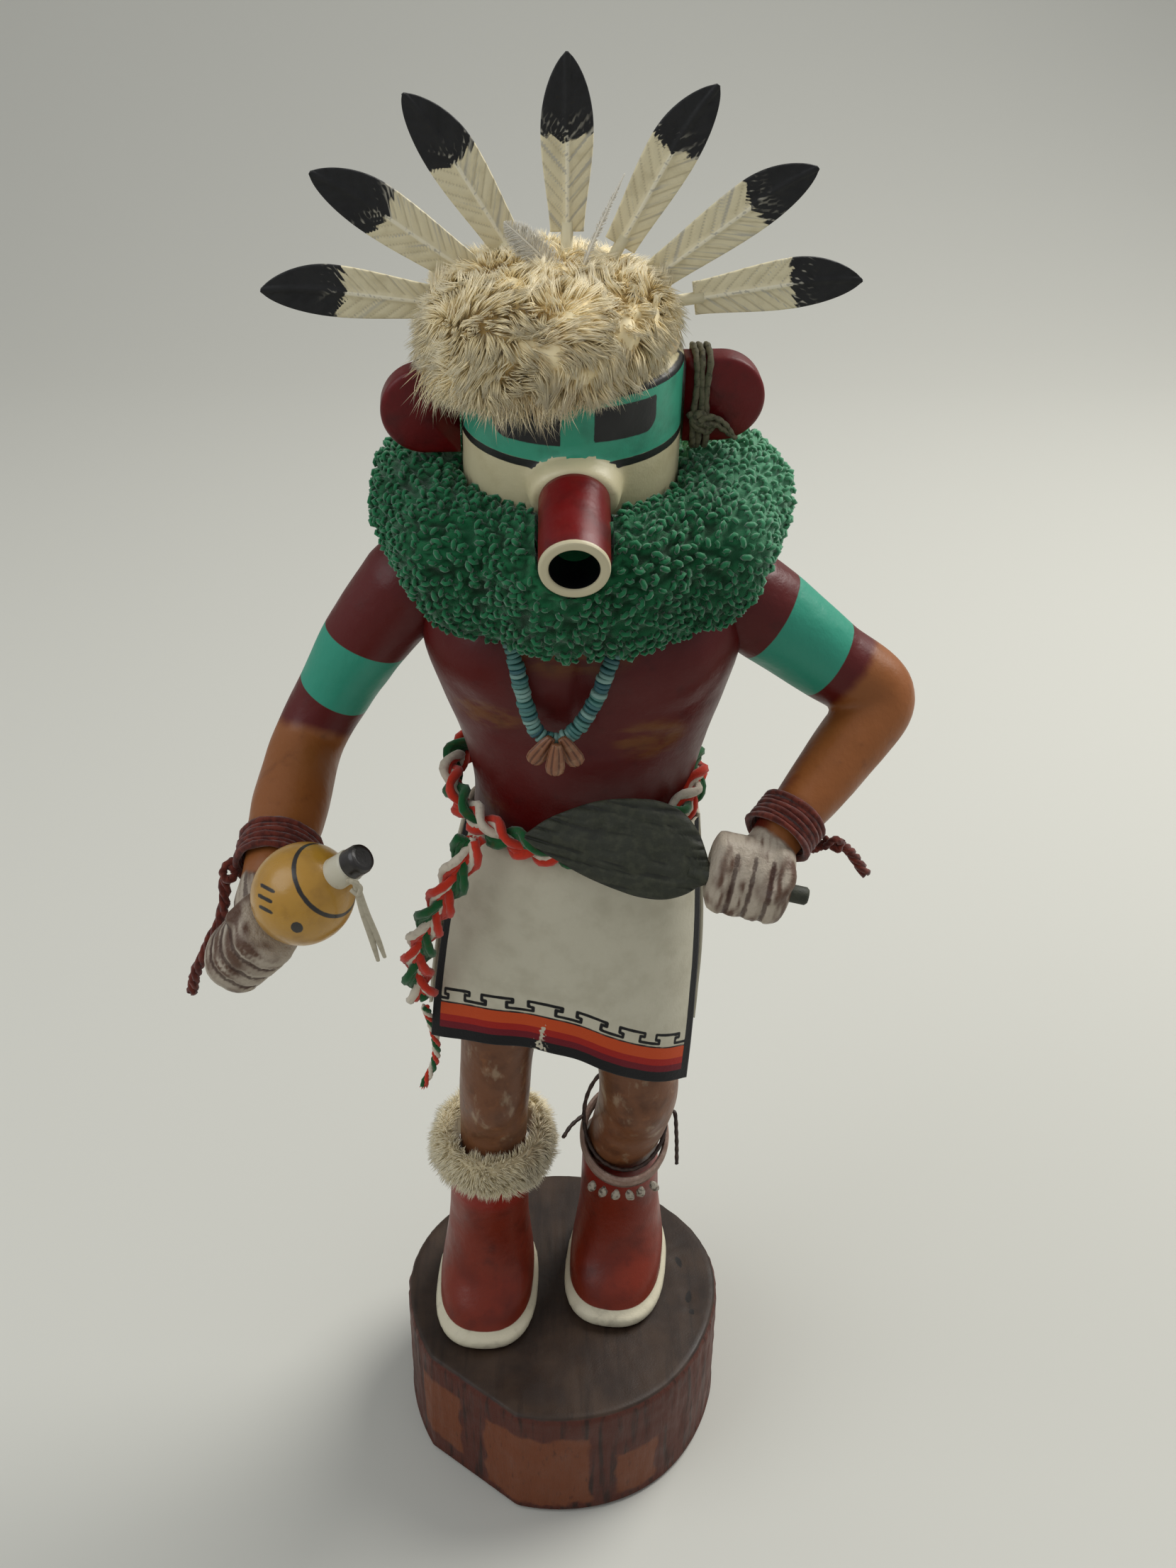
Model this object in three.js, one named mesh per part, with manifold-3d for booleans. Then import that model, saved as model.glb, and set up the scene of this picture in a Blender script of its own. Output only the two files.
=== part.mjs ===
// A carved and painted kachina doll on a log-slice plinth: a masked dancer with a fan of carved
// feathers, a fur crown, a yarn ruff, a leather kilt, a braided sash, a rattle and a leaf-shaped wand.
// Millimetres, +Z up, the figure faces -Y, and the origin is the centre of the plinth's underside.
// "right" and "left" in the names are the figure's own sides: its right is at -X.
import * as THREE from "three";
import { mergeVertices } from "three/addons/utils/BufferGeometryUtils.js";
import Module from "manifold-3d";

const wasm = await Module();
wasm.setup();

// ---------- driving dimensions ----------
const FIT = 0.3; // clearance between two pieces that touch
const PLINTH_RADIUS = 50;
const PLINTH_HEIGHT = 44;
const MASK_RADIUS = 24.5;
const MASK_HEIGHT = 40; // the straight wall, under the domed crown
const CROWN_HEIGHT = 8;
const HEAD_PIVOT = new THREE.Vector3(1.5, 0, 312); // centre of the mask's underside
const HEAD_TILT = THREE.MathUtils.degToRad(5); // chin down
const HEAD_TURN = THREE.MathUtils.degToRad(4); // towards the figure's left
const SNOUT_RADIUS = 7.65;
const SNOUT_BORE = 5.3;
const SNOUT_LENGTH = 22;
const SNOUT_DROOP = THREE.MathUtils.degToRad(11);
const CUFF_HALF_WIDTH = 10.2;
const CUFF_HALF_HEIGHT = 8.2;
const EAR_HEIGHT = 19.8;
const EAR_THICKNESS = 6.5;
const FAN_CENTRE = new THREE.Vector3(-0.8, 4, 40); // in the head's frame
const FAN_LEAN = THREE.MathUtils.degToRad(-7);
const FEATHER_PEG_RADIUS = 1.3;
const FEATHER_HALF_WIDTH = 5.5;
const BLADE_START = 23; // the blades begin this far out, where neighbours clear each other
const STICK_RADIUS = 2;
const RATTLE_FOOT = -38.5; // the lower end of its stick, from the gourd's centre
const WAND_STICK_RADIUS = 2.2;
const WAIST = { x: 2.8, y: 0, z: 241 };

// ---------- small helpers ----------
const v3 = (x, y, z) => new THREE.Vector3(x, y, z);
const X = v3(1, 0, 0);
const Y = v3(0, 1, 0);
const Z = v3(0, 0, 1);
const { sin, cos, PI, sqrt, abs, sign, pow, max, min } = Math;
const deg = THREE.MathUtils.degToRad;
const mix = THREE.MathUtils.lerp;

// A geometry as a manifold-3d solid, for the cuts and joins below.
function solid(geometry) {
  const bare = new THREE.BufferGeometry().setAttribute("position", geometry.getAttribute("position"));
  if (geometry.index) bare.setIndex(geometry.index);
  const merged = mergeVertices(bare, 1e-4);
  return new wasm.Manifold(
    new wasm.Mesh({
      numProp: 3,
      vertProperties: merged.getAttribute("position").array,
      triVerts: new Uint32Array(merged.index.array),
    }),
  );
}

// A manifold-3d solid as a geometry.
function geometryOf(manifold) {
  const mesh = manifold.getMesh();
  const made = new THREE.BufferGeometry()
    .setAttribute("position", new THREE.BufferAttribute(new Float32Array(mesh.vertProperties), 3))
    .setIndex(new THREE.BufferAttribute(new Uint32Array(mesh.triVerts), 1));
  made.computeVertexNormals();
  return made;
}

const join = (...geometries) => geometryOf(geometries.map(solid).reduce((a, b) => a.add(b)));
const cut = (geometry, ...tools) =>
  geometryOf(tools.map(solid).reduce((a, b) => a.subtract(b), solid(geometry)));

// Points and triangles as a geometry whose faces point out.
function shell(points, faces) {
  let volume = 0;
  for (let i = 0; i < faces.length; i += 3) {
    const [a, b, c] = [points[faces[i]], points[faces[i + 1]], points[faces[i + 2]]];
    volume += a.dot(b.clone().cross(c));
  }
  if (volume < 0) faces.reverse();
  const made = new THREE.BufferGeometry().setFromPoints(points).setIndex(faces);
  made.computeVertexNormals();
  return made;
}

// A skin over rings of points. Open ends are closed by fans; a loop joins the last ring to the first.
function skin(rings, loop = false) {
  const n = rings[0].length;
  const points = rings.flat();
  const faces = [];
  const spans = loop ? rings.length : rings.length - 1;
  for (let r = 0; r < spans; r++)
    for (let i = 0; i < n; i++) {
      const next = ((r + 1) % rings.length) * n;
      const [a, b, c, d] = [r * n + i, r * n + ((i + 1) % n), next + i, next + ((i + 1) % n)];
      faces.push(a, b, d, a, d, c);
    }
  if (!loop)
    for (const [ring, flip] of [[0, true], [rings.length - 1, false]]) {
      const middle = rings[ring].reduce((sum, p) => sum.add(p), v3(0, 0, 0)).divideScalar(n);
      points.push(middle);
      for (let i = 0; i < n; i++) {
        const [a, b] = [ring * n + i, ring * n + ((i + 1) % n)];
        faces.push(points.length - 1, ...(flip ? [b, a] : [a, b]));
      }
    }
  return shell(points, faces);
}

// One oval ring. A power over 2 squares it off.
function oval(centre, side, up, a, b, sides, power = 2) {
  return Array.from({ length: sides }, (_, i) => {
    const angle = (2 * PI * i) / sides;
    const [c, s] = [cos(angle), sin(angle)];
    const x = a * sign(c) * pow(abs(c), 2 / power);
    const y = b * sign(s) * pow(abs(s), 2 / power);
    return centre.clone().addScaledVector(side, x).addScaledVector(up, y);
  });
}

// Level rings stacked up Z. A level is [z, centre x, centre y, half width, half depth, power].
function stack(levels, sides, grow = 0) {
  return skin(
    levels.map(([z, x, y, a, b, power = 2]) => oval(v3(x, y, z), X, Y, a + grow, b + grow, sides, power)),
  );
}

// A limb along a smooth path through points, with half sizes [a, b] at each, and round ends.
function limb(points, sizes, options = {}) {
  const { sides = 10, steps = 12, across = X, grow = 0, round = true, loop = false } = options;
  const path = new THREE.CatmullRomCurve3(points, loop);
  const size = new THREE.CatmullRomCurve3(sizes.map(([a, b]) => v3(a + grow, b + grow, 0)), loop);
  const ring = (t, shrink = 1, shift = 0) => {
    const tangent = path.getTangent(t);
    const side = across.clone().addScaledVector(tangent, -across.dot(tangent)).normalize();
    const up = tangent.clone().cross(side);
    const half = size.getPoint(t);
    const centre = path.getPoint(t).addScaledVector(tangent, shift * min(half.x, half.y));
    return oval(centre, side, up, half.x * shrink, half.y * shrink, sides);
  };
  if (loop) return skin(Array.from({ length: steps }, (_, i) => ring(i / steps)), true);
  const body = Array.from({ length: steps + 1 }, (_, i) => ring(i / steps));
  const bend = round ? [deg(50)] : [];
  const start = bend.map((a) => ring(0, cos(a), -sin(a)));
  const end = bend.map((a) => ring(1, cos(a), sin(a)));
  return skin([...start, ...body, ...end]);
}

// A sheet of even thickness under a surface at(s, t).
function sheet(at, thickness, across, down) {
  const step = 1e-3;
  const normal = (s, t) => {
    const ds = at(min(s + step, 1), t).sub(at(max(s - step, 0), t));
    const dt = at(s, min(t + step, 1)).sub(at(s, max(t - step, 0)));
    return ds.cross(dt).normalize();
  };
  const rings = [];
  for (let i = 0; i <= across; i++) {
    const s = i / across;
    const outer = [];
    const inner = [];
    for (let j = 0; j <= down; j++) {
      const t = j / down;
      const p = at(s, t);
      outer.push(p);
      inner.push(p.clone().addScaledVector(normal(s, t), thickness));
    }
    rings.push([...outer, ...inner.reverse()]);
  }
  return skinStrip(rings);
}

// Like skin, but its end rings are long thin strips, closed by quads across the thickness.
function skinStrip(rings) {
  const n = rings[0].length;
  const points = rings.flat();
  const faces = [];
  for (let r = 0; r < rings.length - 1; r++)
    for (let i = 0; i < n; i++) {
      const [a, b] = [r * n + i, r * n + ((i + 1) % n)];
      faces.push(a, b, b + n, a, b + n, a + n);
    }
  for (const [ring, flip] of [[0, true], [rings.length - 1, false]])
    for (let j = 0; j < n / 2 - 1; j++) {
      const quad = [j, j + 1, n - 2 - j, n - 1 - j].map((k) => ring * n + k);
      const order = flip ? [0, 2, 1, 0, 3, 2] : [0, 1, 2, 0, 2, 3];
      faces.push(...order.map((k) => quad[k]));
    }
  return shell(points, faces);
}

// A lathe about Z, from a profile of [radius, z] that starts and ends on the axis or closes on itself.
function turned(profile, segments) {
  const lathe = new THREE.LatheGeometry(profile.map(([r, z]) => new THREE.Vector2(r, z)), segments);
  return lathe.rotateX(PI / 2);
}

// Turns a geometry made along +Z so that it runs from one point towards another.
function aim(geometry, from, to) {
  const turn = new THREE.Quaternion().setFromUnitVectors(Z, to.clone().sub(from).normalize());
  return geometry.applyQuaternion(turn).translate(from.x, from.y, from.z);
}

// A cord's plain round tube along a smooth path.
function tube(points, radius, steps, sides = 8) {
  const section = new THREE.Shape(
    Array.from({ length: sides }, (_, i) => {
      const angle = (2 * PI * i) / sides;
      return new THREE.Vector2(radius * cos(angle), radius * sin(angle));
    }),
  );
  return new THREE.ExtrudeGeometry(section, { steps, extrudePath: new THREE.CatmullRomCurve3(points) });
}

const rod = (from, to, radius, sides = 12) => {
  const length = from.distanceTo(to);
  const bar = new THREE.CylinderGeometry(radius, radius, length, sides).rotateX(PI / 2);
  return aim(bar.translate(0, 0, length / 2), from, to);
};

// ---------- materials ----------
const paint = (color, roughness = 0.5, metalness = 0) =>
  new THREE.MeshStandardMaterial({ color, roughness, metalness, flatShading: true });
const finish = {
  plinth: paint(0x3b2620, 0.55),
  red: paint(0x6d1418, 0.4),
  skin: paint(0x8a4f26, 0.5),
  turquoise: paint(0x35a58c, 0.5),
  darkRed: paint(0x6a0f14, 0.4),
  cream: paint(0xd6c9a4, 0.6),
  feather: paint(0xcfc19a, 0.6),
  down: paint(0xf0ebdc, 0.9),
  fur: paint(0xcdbd93, 0.95),
  yarn: paint(0x0f6b3c, 0.95),
  gourd: paint(0xd9a93c, 0.4),
  stick: paint(0x20241f, 0.6),
  wand: paint(0x2a3024, 0.7),
  twine: paint(0x5a2b20, 0.9),
  bead: paint(0x5fa39b, 0.5),
  shell: paint(0xa9805c, 0.5),
  kilt: paint(0xc9c4b4, 0.85),
  sash: paint(0xb0402c, 0.9),
  thong: paint(0x6f6a58, 0.8),
  strap: paint(0x3a241c, 0.7),
  bell: paint(0x9a958a, 0.4, 0.5),
};

const doll = new THREE.Group();
const head = new THREE.Group();
head.position.copy(HEAD_PIVOT);
head.rotation.set(HEAD_TILT, 0, HEAD_TURN, "ZXY");
const fan = new THREE.Group();
fan.position.copy(FAN_CENTRE);
fan.rotation.x = FAN_LEAN;
head.add(fan);
doll.add(head);
head.updateMatrixWorld(true);
const inHead = (geometry) => geometry.clone().applyMatrix4(head.matrixWorld);

// Adds a named mesh. A geometry made in the parent's frame is moved to stand about its own origin.
function add(parent, name, geometry, material, origin = v3(0, 0, 0)) {
  const mesh = new THREE.Mesh(geometry.translate(-origin.x, -origin.y, -origin.z), material);
  mesh.name = name;
  mesh.position.copy(origin);
  parent.add(mesh);
  return mesh;
}

// ---------- plinth: a slice of log with an eased rim and one flat hewn on its right front ----------
function plinth() {
  const sides = 40;
  const reach = (angle) => {
    const hewn = deg(232);
    const wave = 0.6 * sin(3 * angle + 0.4) + 0.4 * sin(5 * angle);
    const flat = (PLINTH_RADIUS - 3.2) / max(cos(angle - hewn), 0.2);
    return min(PLINTH_RADIUS + wave, flat);
  };
  const levels = [[0, -1], [1.2, 0], [PLINTH_HEIGHT - 3, 0], [PLINTH_HEIGHT, -2.6]];
  return skin(
    levels.map(([z, inset]) =>
      Array.from({ length: sides }, (_, i) => {
        const angle = (2 * PI * i) / sides;
        const r = reach(angle) + inset;
        return v3(r * cos(angle), r * sin(angle), z);
      }),
    ),
  );
}

// ---------- body: torso, legs and moccasin boots, carved in one ----------
const torsoLevels = [
  [184, 2, 0, 24, 16], [195, 2.5, 0, 28.5, 20], [212, 3.5, 0, 30, 21.5], [228, 5, 0, 28.5, 20.5],
  [240, 5.3, 0, 28, 19.5], [255, 5.3, 0, 31, 21, 2.2], [268, 5, 0, 35, 22.5, 2.4],
  [282, 4.6, 0, 38.5, 23, 2.6], [291, 4.2, 0.5, 37.5, 21, 2.5], [298, 3.6, 1, 28, 17],
  [303, 2.8, 1, 15, 13], [306, 2.4, 1, 12, 12], [314, 1.8, 0.5, 11.5, 11.5],
];
const rightLegLevels = [
  [104, -21, 0, 9.8, 10.6], [120, -20.2, -2.5, 9.8, 10.8], [136, -19.5, -4.5, 10.2, 11.2],
  [150, -18.5, -4, 10.4, 11.4], [172, -15.5, -2, 12.5, 14], [200, -11, 0, 14.5, 16],
];
const leftLegLevels = [
  [104, 17.5, 5, 10.6, 11], [118, 20, 0, 11, 11.8], [134, 22, -4, 11.4, 12.2],
  [150, 21, -4, 11.6, 12.4], [172, 19, -2, 12.8, 14], [200, 16, 0, 14, 16],
];
// Boots are stacked about their own sole's middle, then turned and set in place.
const bootLevels = [
  [PLINTH_HEIGHT + FIT, 0, 0, 15, 23.8, 2.6], [PLINTH_HEIGHT + 1.5, 0, 0, 16, 25, 2.6],
  [PLINTH_HEIGHT + 4.2, 0, 0, 16, 25, 2.6], [PLINTH_HEIGHT + 5, 0, 0.2, 14.8, 23.6, 2.5],
  [PLINTH_HEIGHT + 11, 0, 1.4, 14.6, 21.6, 2.4], [PLINTH_HEIGHT + 19, 0, 4.2, 13.6, 17, 2.2],
  [PLINTH_HEIGHT + 31, 0, 3.6, 12.4, 13.6], [PLINTH_HEIGHT + 47, 0, 0.6, 11.8, 12.2],
  [PLINTH_HEIGHT + 62, 0, -1.5, 11.4, 11.6],
];
const BOOTS = [
  { x: -23.8, y: 0, turn: deg(-2), lean: 2.5 },
  { x: 17.4, y: 8, turn: deg(-7), lean: 0.5 },
];

function boot({ x, y, turn, lean }, grow = 0) {
  const top = bootLevels.at(-1)[0];
  const levels = bootLevels.map(([z, cx, cy, a, b, power]) => {
    const rise = pow((z - PLINTH_HEIGHT) / (top - PLINTH_HEIGHT), 1.5);
    return [z, cx + lean * rise, cy, a, b, power];
  });
  return stack(levels, 16, grow).rotateZ(turn).translate(x, y, 0);
}

function body(grow = 0) {
  return join(
    stack(torsoLevels, 20, grow),
    stack(rightLegLevels, 12, grow),
    stack(leftLegLevels, 12, grow),
    ...BOOTS.map((place) => boot(place, grow)),
  );
}

// ---------- arms, each carved with its fist and fixed at the shoulder ----------
const rightWrist = v3(-67.5, -44, 239.5);
const rightFist = v3(-71, -59, 232);
const rattleAxis = v3(0.61, -0.24, 0.75).normalize();
const rightArmPath = [
  v3(-37, 1, 293), v3(-47.5, 1, 279), v3(-56.5, 1, 264), v3(-63.5, -4, 252), v3(-66, -23, 245.5),
  rightWrist, v3(-69.4, -51, 236),
];
const rightArmSizes = [[11.5, 11.5], [10.6, 10.4], [9.3, 9.4], [8.8, 8.8], [9.2, 9], [7.1, 7.1], [6.4, 6]];
const leftWrist = v3(52.5, -28.5, 240.8);
const leftFist = v3(44.6, -37.2, 234);
const leftArmPath = [
  v3(43, 1, 290), v3(51, 1, 284), v3(65, 1, 273), v3(78, -1, 263), v3(69, -11, 253), leftWrist,
  v3(48.4, -33, 237.6),
];
const leftArmSizes = [[12, 12], [11.8, 11.6], [10.4, 10.4], [9.6, 9.4], [8.7, 8.5], [6.3, 6.3], [6, 5.6]];

// A carved fist closed on a stick: a block with grooves between four fingers, and a thumb. reach
// points from the wrist to the knuckles.
function fist(centre, stickAxis, reach) {
  const along = stickAxis.clone().normalize();
  const out = reach.clone().addScaledVector(along, -reach.dot(along)).normalize();
  const over = along.clone().cross(out);
  const spot = (a, o, v) =>
    centre.clone().addScaledVector(along, a).addScaledVector(out, o).addScaledVector(over, v);
  // round the section from the back of the hand to the curled finger tips
  const outline = [
    [-9.5, 2.2], [-6, 6.6], [0, 8], [6, 7.4], [9.8, 3.6],
    [10.4, -1.6], [8, -6], [2.6, -7.6], [-2.6, -6.8], [-7, -4],
  ];
  const slices = [-10, -9, -6.6, -4.6, -3.8, -2.2, 0, 2.2, 3.8, 4.6, 6.6, 9, 10].map((a) => {
    const groove = [-4.4, 0, 4.4].some((g) => abs(a - g) < 0.7) ? 0.87 : 1;
    const end = abs(a) > 9.5 ? 0.62 : abs(a) > 8 ? 0.92 : 1;
    return outline.map(([o, v]) => {
      const fingers = o > 4 || v < -3 ? groove : 1;
      const scale = fingers * end;
      return spot(a, o * scale, v * scale);
    });
  });
  const thumbPath = [spot(6.5, -7, -1), spot(8, -3, -5), spot(5.5, 1, -7.6)];
  const thumb = limb(thumbPath, [[2.5, 2.8], [2.4, 2.5], [2, 2]], { sides: 6, steps: 2, across: along });
  return join(skin(slices), thumb);
}

const WAND_TIP = v3(-9.3, -34, 243.6);
const WAND_END = v3(58.5, -41, 231);
const wandAxis = WAND_TIP.clone().sub(WAND_END).normalize();
const neckAxis = v3(0.7, -0.26, 0.66).normalize();
const gourdCentre = rightFist.clone().addScaledVector(rattleAxis, 22.9);

function rightArm() {
  const arm = limb(rightArmPath, rightArmSizes, { sides: 10, steps: 9 });
  const reach = rightFist.clone().sub(rightWrist);
  return join(arm, fist(rightFist, rattleAxis, reach));
}

function leftArm() {
  const arm = limb(leftArmPath, leftArmSizes, { sides: 10, steps: 13, across: Y });
  const reach = leftFist.clone().sub(leftWrist).add(v3(0, 4, -14));
  return join(arm, fist(leftFist, wandAxis.clone().negate(), reach));
}

// ---------- head ----------
const cuffStart = v3(-0.4, -16, 19.6);
const snoutAxis = v3(-0.07, -cos(SNOUT_DROOP), -sin(SNOUT_DROOP)).normalize();
const CUFF_REACH = 12.2; // from cuffStart to the cuff's front face
const alongSnout = (distance) => cuffStart.clone().addScaledVector(snoutAxis, distance);
const cuffSide = snoutAxis.clone().cross(Z).normalize();
const cuffUp = cuffSide.clone().cross(snoutAxis);

function mask(grow = 0) {
  const r = MASK_RADIUS + grow;
  const top = MASK_HEIGHT;
  const dome = [25, 55].map((a) => [
    (MASK_RADIUS - 2.5) * cos(deg(a)) + grow,
    top + 0.5 + CROWN_HEIGHT * sin(deg(a)) + grow,
  ]);
  const profile = [
    [0, -grow], [r - 1.4, -grow], [r, 2.4], [r, top - 1], [r - 1.2, top], [r - 2.5, top + 0.5],
    ...dome, [0, top + 0.5 + CROWN_HEIGHT + grow],
  ];
  // distance along the snout's axis, and how far the front edge is eased
  const cuffRings = [[0, 0], [CUFF_REACH - 1, 0], [CUFF_REACH + grow, 1]].map(([distance, eased]) => {
    const [halfWidth, halfHeight] = [CUFF_HALF_WIDTH, CUFF_HALF_HEIGHT].map((r) => r + grow - eased);
    return oval(alongSnout(distance), cuffSide, cuffUp, halfWidth, halfHeight, 20);
  });
  return join(turned(profile, 30), skin(cuffRings));
}

function snout() {
  const [r, l] = [SNOUT_RADIUS, SNOUT_LENGTH];
  const bore = [[SNOUT_BORE + 0.3, l], [SNOUT_BORE, l - 0.5], [SNOUT_BORE - 0.4, l - 12], [0, l - 12]];
  const profile = [[0, 0], [r, 0], [r - 0.2, l - 0.5], [r - 0.6, l], ...bore];
  return aim(turned(profile, 24), alongSnout(CUFF_REACH + FIT), alongSnout(CUFF_REACH + 9));
}

function ear(side, reach) {
  const [w, h, r] = [reach, EAR_HEIGHT / 2, EAR_HEIGHT / 2 - 0.4];
  const bevel = 0.8;
  const outline = new THREE.Shape();
  outline.moveTo(0, -h + bevel);
  outline.lineTo(w - r, -h + bevel);
  outline.absarc(w - r, 0, h - bevel, -PI / 2, PI / 2, false);
  outline.lineTo(0, h - bevel);
  outline.closePath();
  const plate = new THREE.ExtrudeGeometry(outline, {
    depth: EAR_THICKNESS - 2 * bevel, bevelEnabled: true, bevelThickness: bevel, bevelSize: bevel,
    bevelSegments: 1, curveSegments: 8,
  });
  plate.translate(bevel, 0, bevel - EAR_THICKNESS / 2).rotateX(PI / 2);
  return side > 0 ? plate : plate.rotateZ(PI);
}

// A thong wrapped round the ear plate, knotted low on its front.
function earTie() {
  const [h, d, wall, width] = [EAR_HEIGHT / 2 + FIT, EAR_THICKNESS / 2 + FIT, 1.5, 4.4];
  const frame = (g) => {
    const s = new THREE.Shape();
    s.moveTo(-d - g, -h - g + 1);
    s.lineTo(-d - g, h + g - 1).lineTo(-d - g + 1, h + g).lineTo(d + g - 1, h + g).lineTo(d + g, h + g - 1);
    s.lineTo(d + g, -h - g + 1).lineTo(d + g - 1, -h - g).lineTo(-d - g + 1, -h - g);
    s.closePath();
    return s;
  };
  const ring = frame(wall);
  const hole = new THREE.Shape().moveTo(-d, -h).lineTo(d, -h).lineTo(d, h).lineTo(-d, h);
  hole.closePath();
  ring.holes.push(hole);
  const band = new THREE.ExtrudeGeometry(ring, { depth: width, bevelEnabled: false });
  band.applyMatrix4(new THREE.Matrix4().makeBasis(Y, Z, X)).translate(-width / 2, 0, 0);
  const front = -d - wall;
  const knotPath = [v3(-2.6, front, -3), v3(0, front - 1.2, -4), v3(2.8, front, -5)];
  const tailPath = [v3(1, front - 0.6, -4), v3(5, front - 0.2, -5.6), v3(8.6, front + 0.6, -8.6)];
  const knot = limb(knotPath, [[1.2, 1.2], [2.3, 2], [1.2, 1.2]], { sides: 8, steps: 5, across: Z });
  const tail = limb(tailPath, [[1.3, 1], [1.2, 0.9], [0.8, 0.7]], { sides: 6, steps: 4, across: Z });
  return join(band, knot, tail);
}

// ---------- feathers: a flat blade with a quill ridge, and a peg set in the crown ----------
// distance from the fan's centre to the wooden crown's surface
const crownReach = (angle) =>
  1 / sqrt(pow(sin(angle) / (MASK_RADIUS - 2.5), 2) + pow(cos(angle) / (CROWN_HEIGHT + 0.5), 2));
// name, angle from upright, length from the fan's centre, lift of its root, and bare quill added
const FEATHERS = [
  ["feather_1", -82.6, 65.7, 4.7, 5], ["feather_2", -55, 63.8, 0], ["feather_3", -32, 60.3, 0],
  ["feather_4", 0, 58, 0], ["feather_5", 29.5, 60.3, 0], ["feather_6", 54.8, 63.8, 0],
  ["feather_7", 82.1, 65, 4.7, 5],
];
const TIP_LENGTH = 15;

function featherBlade(start, length, skew) {
  const tip = length - TIP_LENGTH;
  const half = (z) => {
    const grown = mix(FEATHER_HALF_WIDTH - 1, FEATHER_HALF_WIDTH, (z - start) / (tip - start));
    const left = (z - tip) / TIP_LENGTH;
    if (left > 0) return max(FEATHER_HALF_WIDTH * pow(1 - left * left, 0.72), 0.35);
    return z === start ? 3.6 : grown;
  };
  const stations = [start, start + 5, tip, ...[0.35, 0.65, 0.87, 1].map((t) => tip + t * TIP_LENGTH)];
  const rings = stations.map((z) => {
    const left = max((z - tip) / TIP_LENGTH, 0);
    const w = half(z);
    const x0 = skew * left * left;
    const edge = 0.45;
    const ridge = mix(1.25, 0.7, z / length);
    const rib = min(0.8, w * 0.5);
    return [
      [w, -edge], [w, edge], [rib, edge + 0.1], [0, ridge], [-rib, edge + 0.1],
      [-w, edge], [-w, -edge], [0, -ridge],
    ].map(([x, y]) => v3(x + x0, y, z));
  });
  return skin(rings);
}

function feather([, angle, length, , bare = 0]) {
  const foot = crownReach(deg(angle)) - 2.5;
  const skew = 1.6 * sign(angle);
  const start = BLADE_START + bare;
  const peg = rod(v3(0, 0, foot), v3(0, 0, start + 2), FEATHER_PEG_RADIUS, 6);
  return join(featherBlade(start, length, skew), peg);
}
// The room a feather needs in the fur: a peg hole and a slot.
function featherRoom([, angle, length, , bare = 0]) {
  const foot = crownReach(deg(angle)) - 2.5;
  const hole = rod(v3(0, 0, foot - FIT), v3(0, 0, BLADE_START + bare + 2), FEATHER_PEG_RADIUS + 0.6, 5);
  const slot = new THREE.BoxGeometry(2 * FEATHER_HALF_WIDTH, 3.4, length - BLADE_START - bare + 1);
  return join(hole, slot.translate(0, 0, (length + BLADE_START + bare) / 2));
}
const fanned = (geometry, [, angle, , lift]) => geometry.rotateY(deg(angle)).translate(0, 0, lift);
const inFan = (geometry) => geometry.rotateX(FAN_LEAN).translate(...FAN_CENTRE);
// Two bits of white down on fine quills, stuck in the fur over the brow.
function plume(path, sizes) {
  return limb(path, sizes, { sides: 6, steps: 5, across: v3(0.8, 0, 0.6), round: false });
}

// ---------- fur crown ----------
function furCrown() {
  const sides = 18;
  // half width, height, and how far the brow's fringe pulls the level down; inside first, then outside
  const inside = [[6, 50, 0], [14.4, 48.6, 0], [21.6, 45.2, 0], [26, 40.6, 0], [26, 38.8, 5.4]];
  const outside = [
    [28.6, 38.6, 6], [30.4, 41.4, 3.5], [30.2, 47, 0], [27.4, 53.6, 0], [21.6, 59, 0], [11.6, 62.4, 0],
  ];
  const ring = ([r, z, fringe], outer) =>
    Array.from({ length: sides }, (_, i) => {
      const angle = (2 * PI * i) / sides;
      const front = pow(max(-sin(angle) - 0.2, 0) / 0.8, 0.7);
      const lump = outer ? 1 + 0.025 * sin(5 * angle + 1) + 0.02 * sin(8 * angle) : 1;
      const [cx, cy] = outer ? [-5.6, -2.6] : [0, 0];
      return v3(cx + r * lump * cos(angle), cy + r * 0.96 * lump * sin(angle), z - fringe * front);
    });
  return skin([...inside.map((l) => ring(l, false)), ...outside.map((l) => ring(l, true))]);
}

// ---------- yarn ruff ----------
function ruff() {
  const turns = 26;
  const rings = Array.from({ length: turns }, (_, i) => {
    const angle = (2 * PI * i) / turns;
    const outward = v3(cos(angle), sin(angle), 0);
    const lump = 1 + 0.03 * sin(7 * angle) + 0.025 * cos(11 * angle + 1);
    const front = max(-sin(angle), 0);
    // the inner wall stands off the mask; then round the top to the outer lip and back underneath
    const wall = [-1.5, 13].map((z) =>
      v3(0, 0, z).addScaledVector(outward, MASK_RADIUS + 0.9).applyMatrix4(head.matrixWorld),
    );
    const section = [
      [34, 327.5], [43, 325.5], [48.5, 319.5], [48.3, 311], [44, 302.5], [38, 297], [31.5, 303],
    ];
    const outer = section.map(([r, z]) => {
      const drop = z < 305 && r > 35 ? 4 * front : 2 * front;
      return v3(4, 1, z - drop).addScaledVector(outward, r * lump);
    });
    return [...wall, ...outer];
  });
  return skin(rings, true);
}

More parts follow.
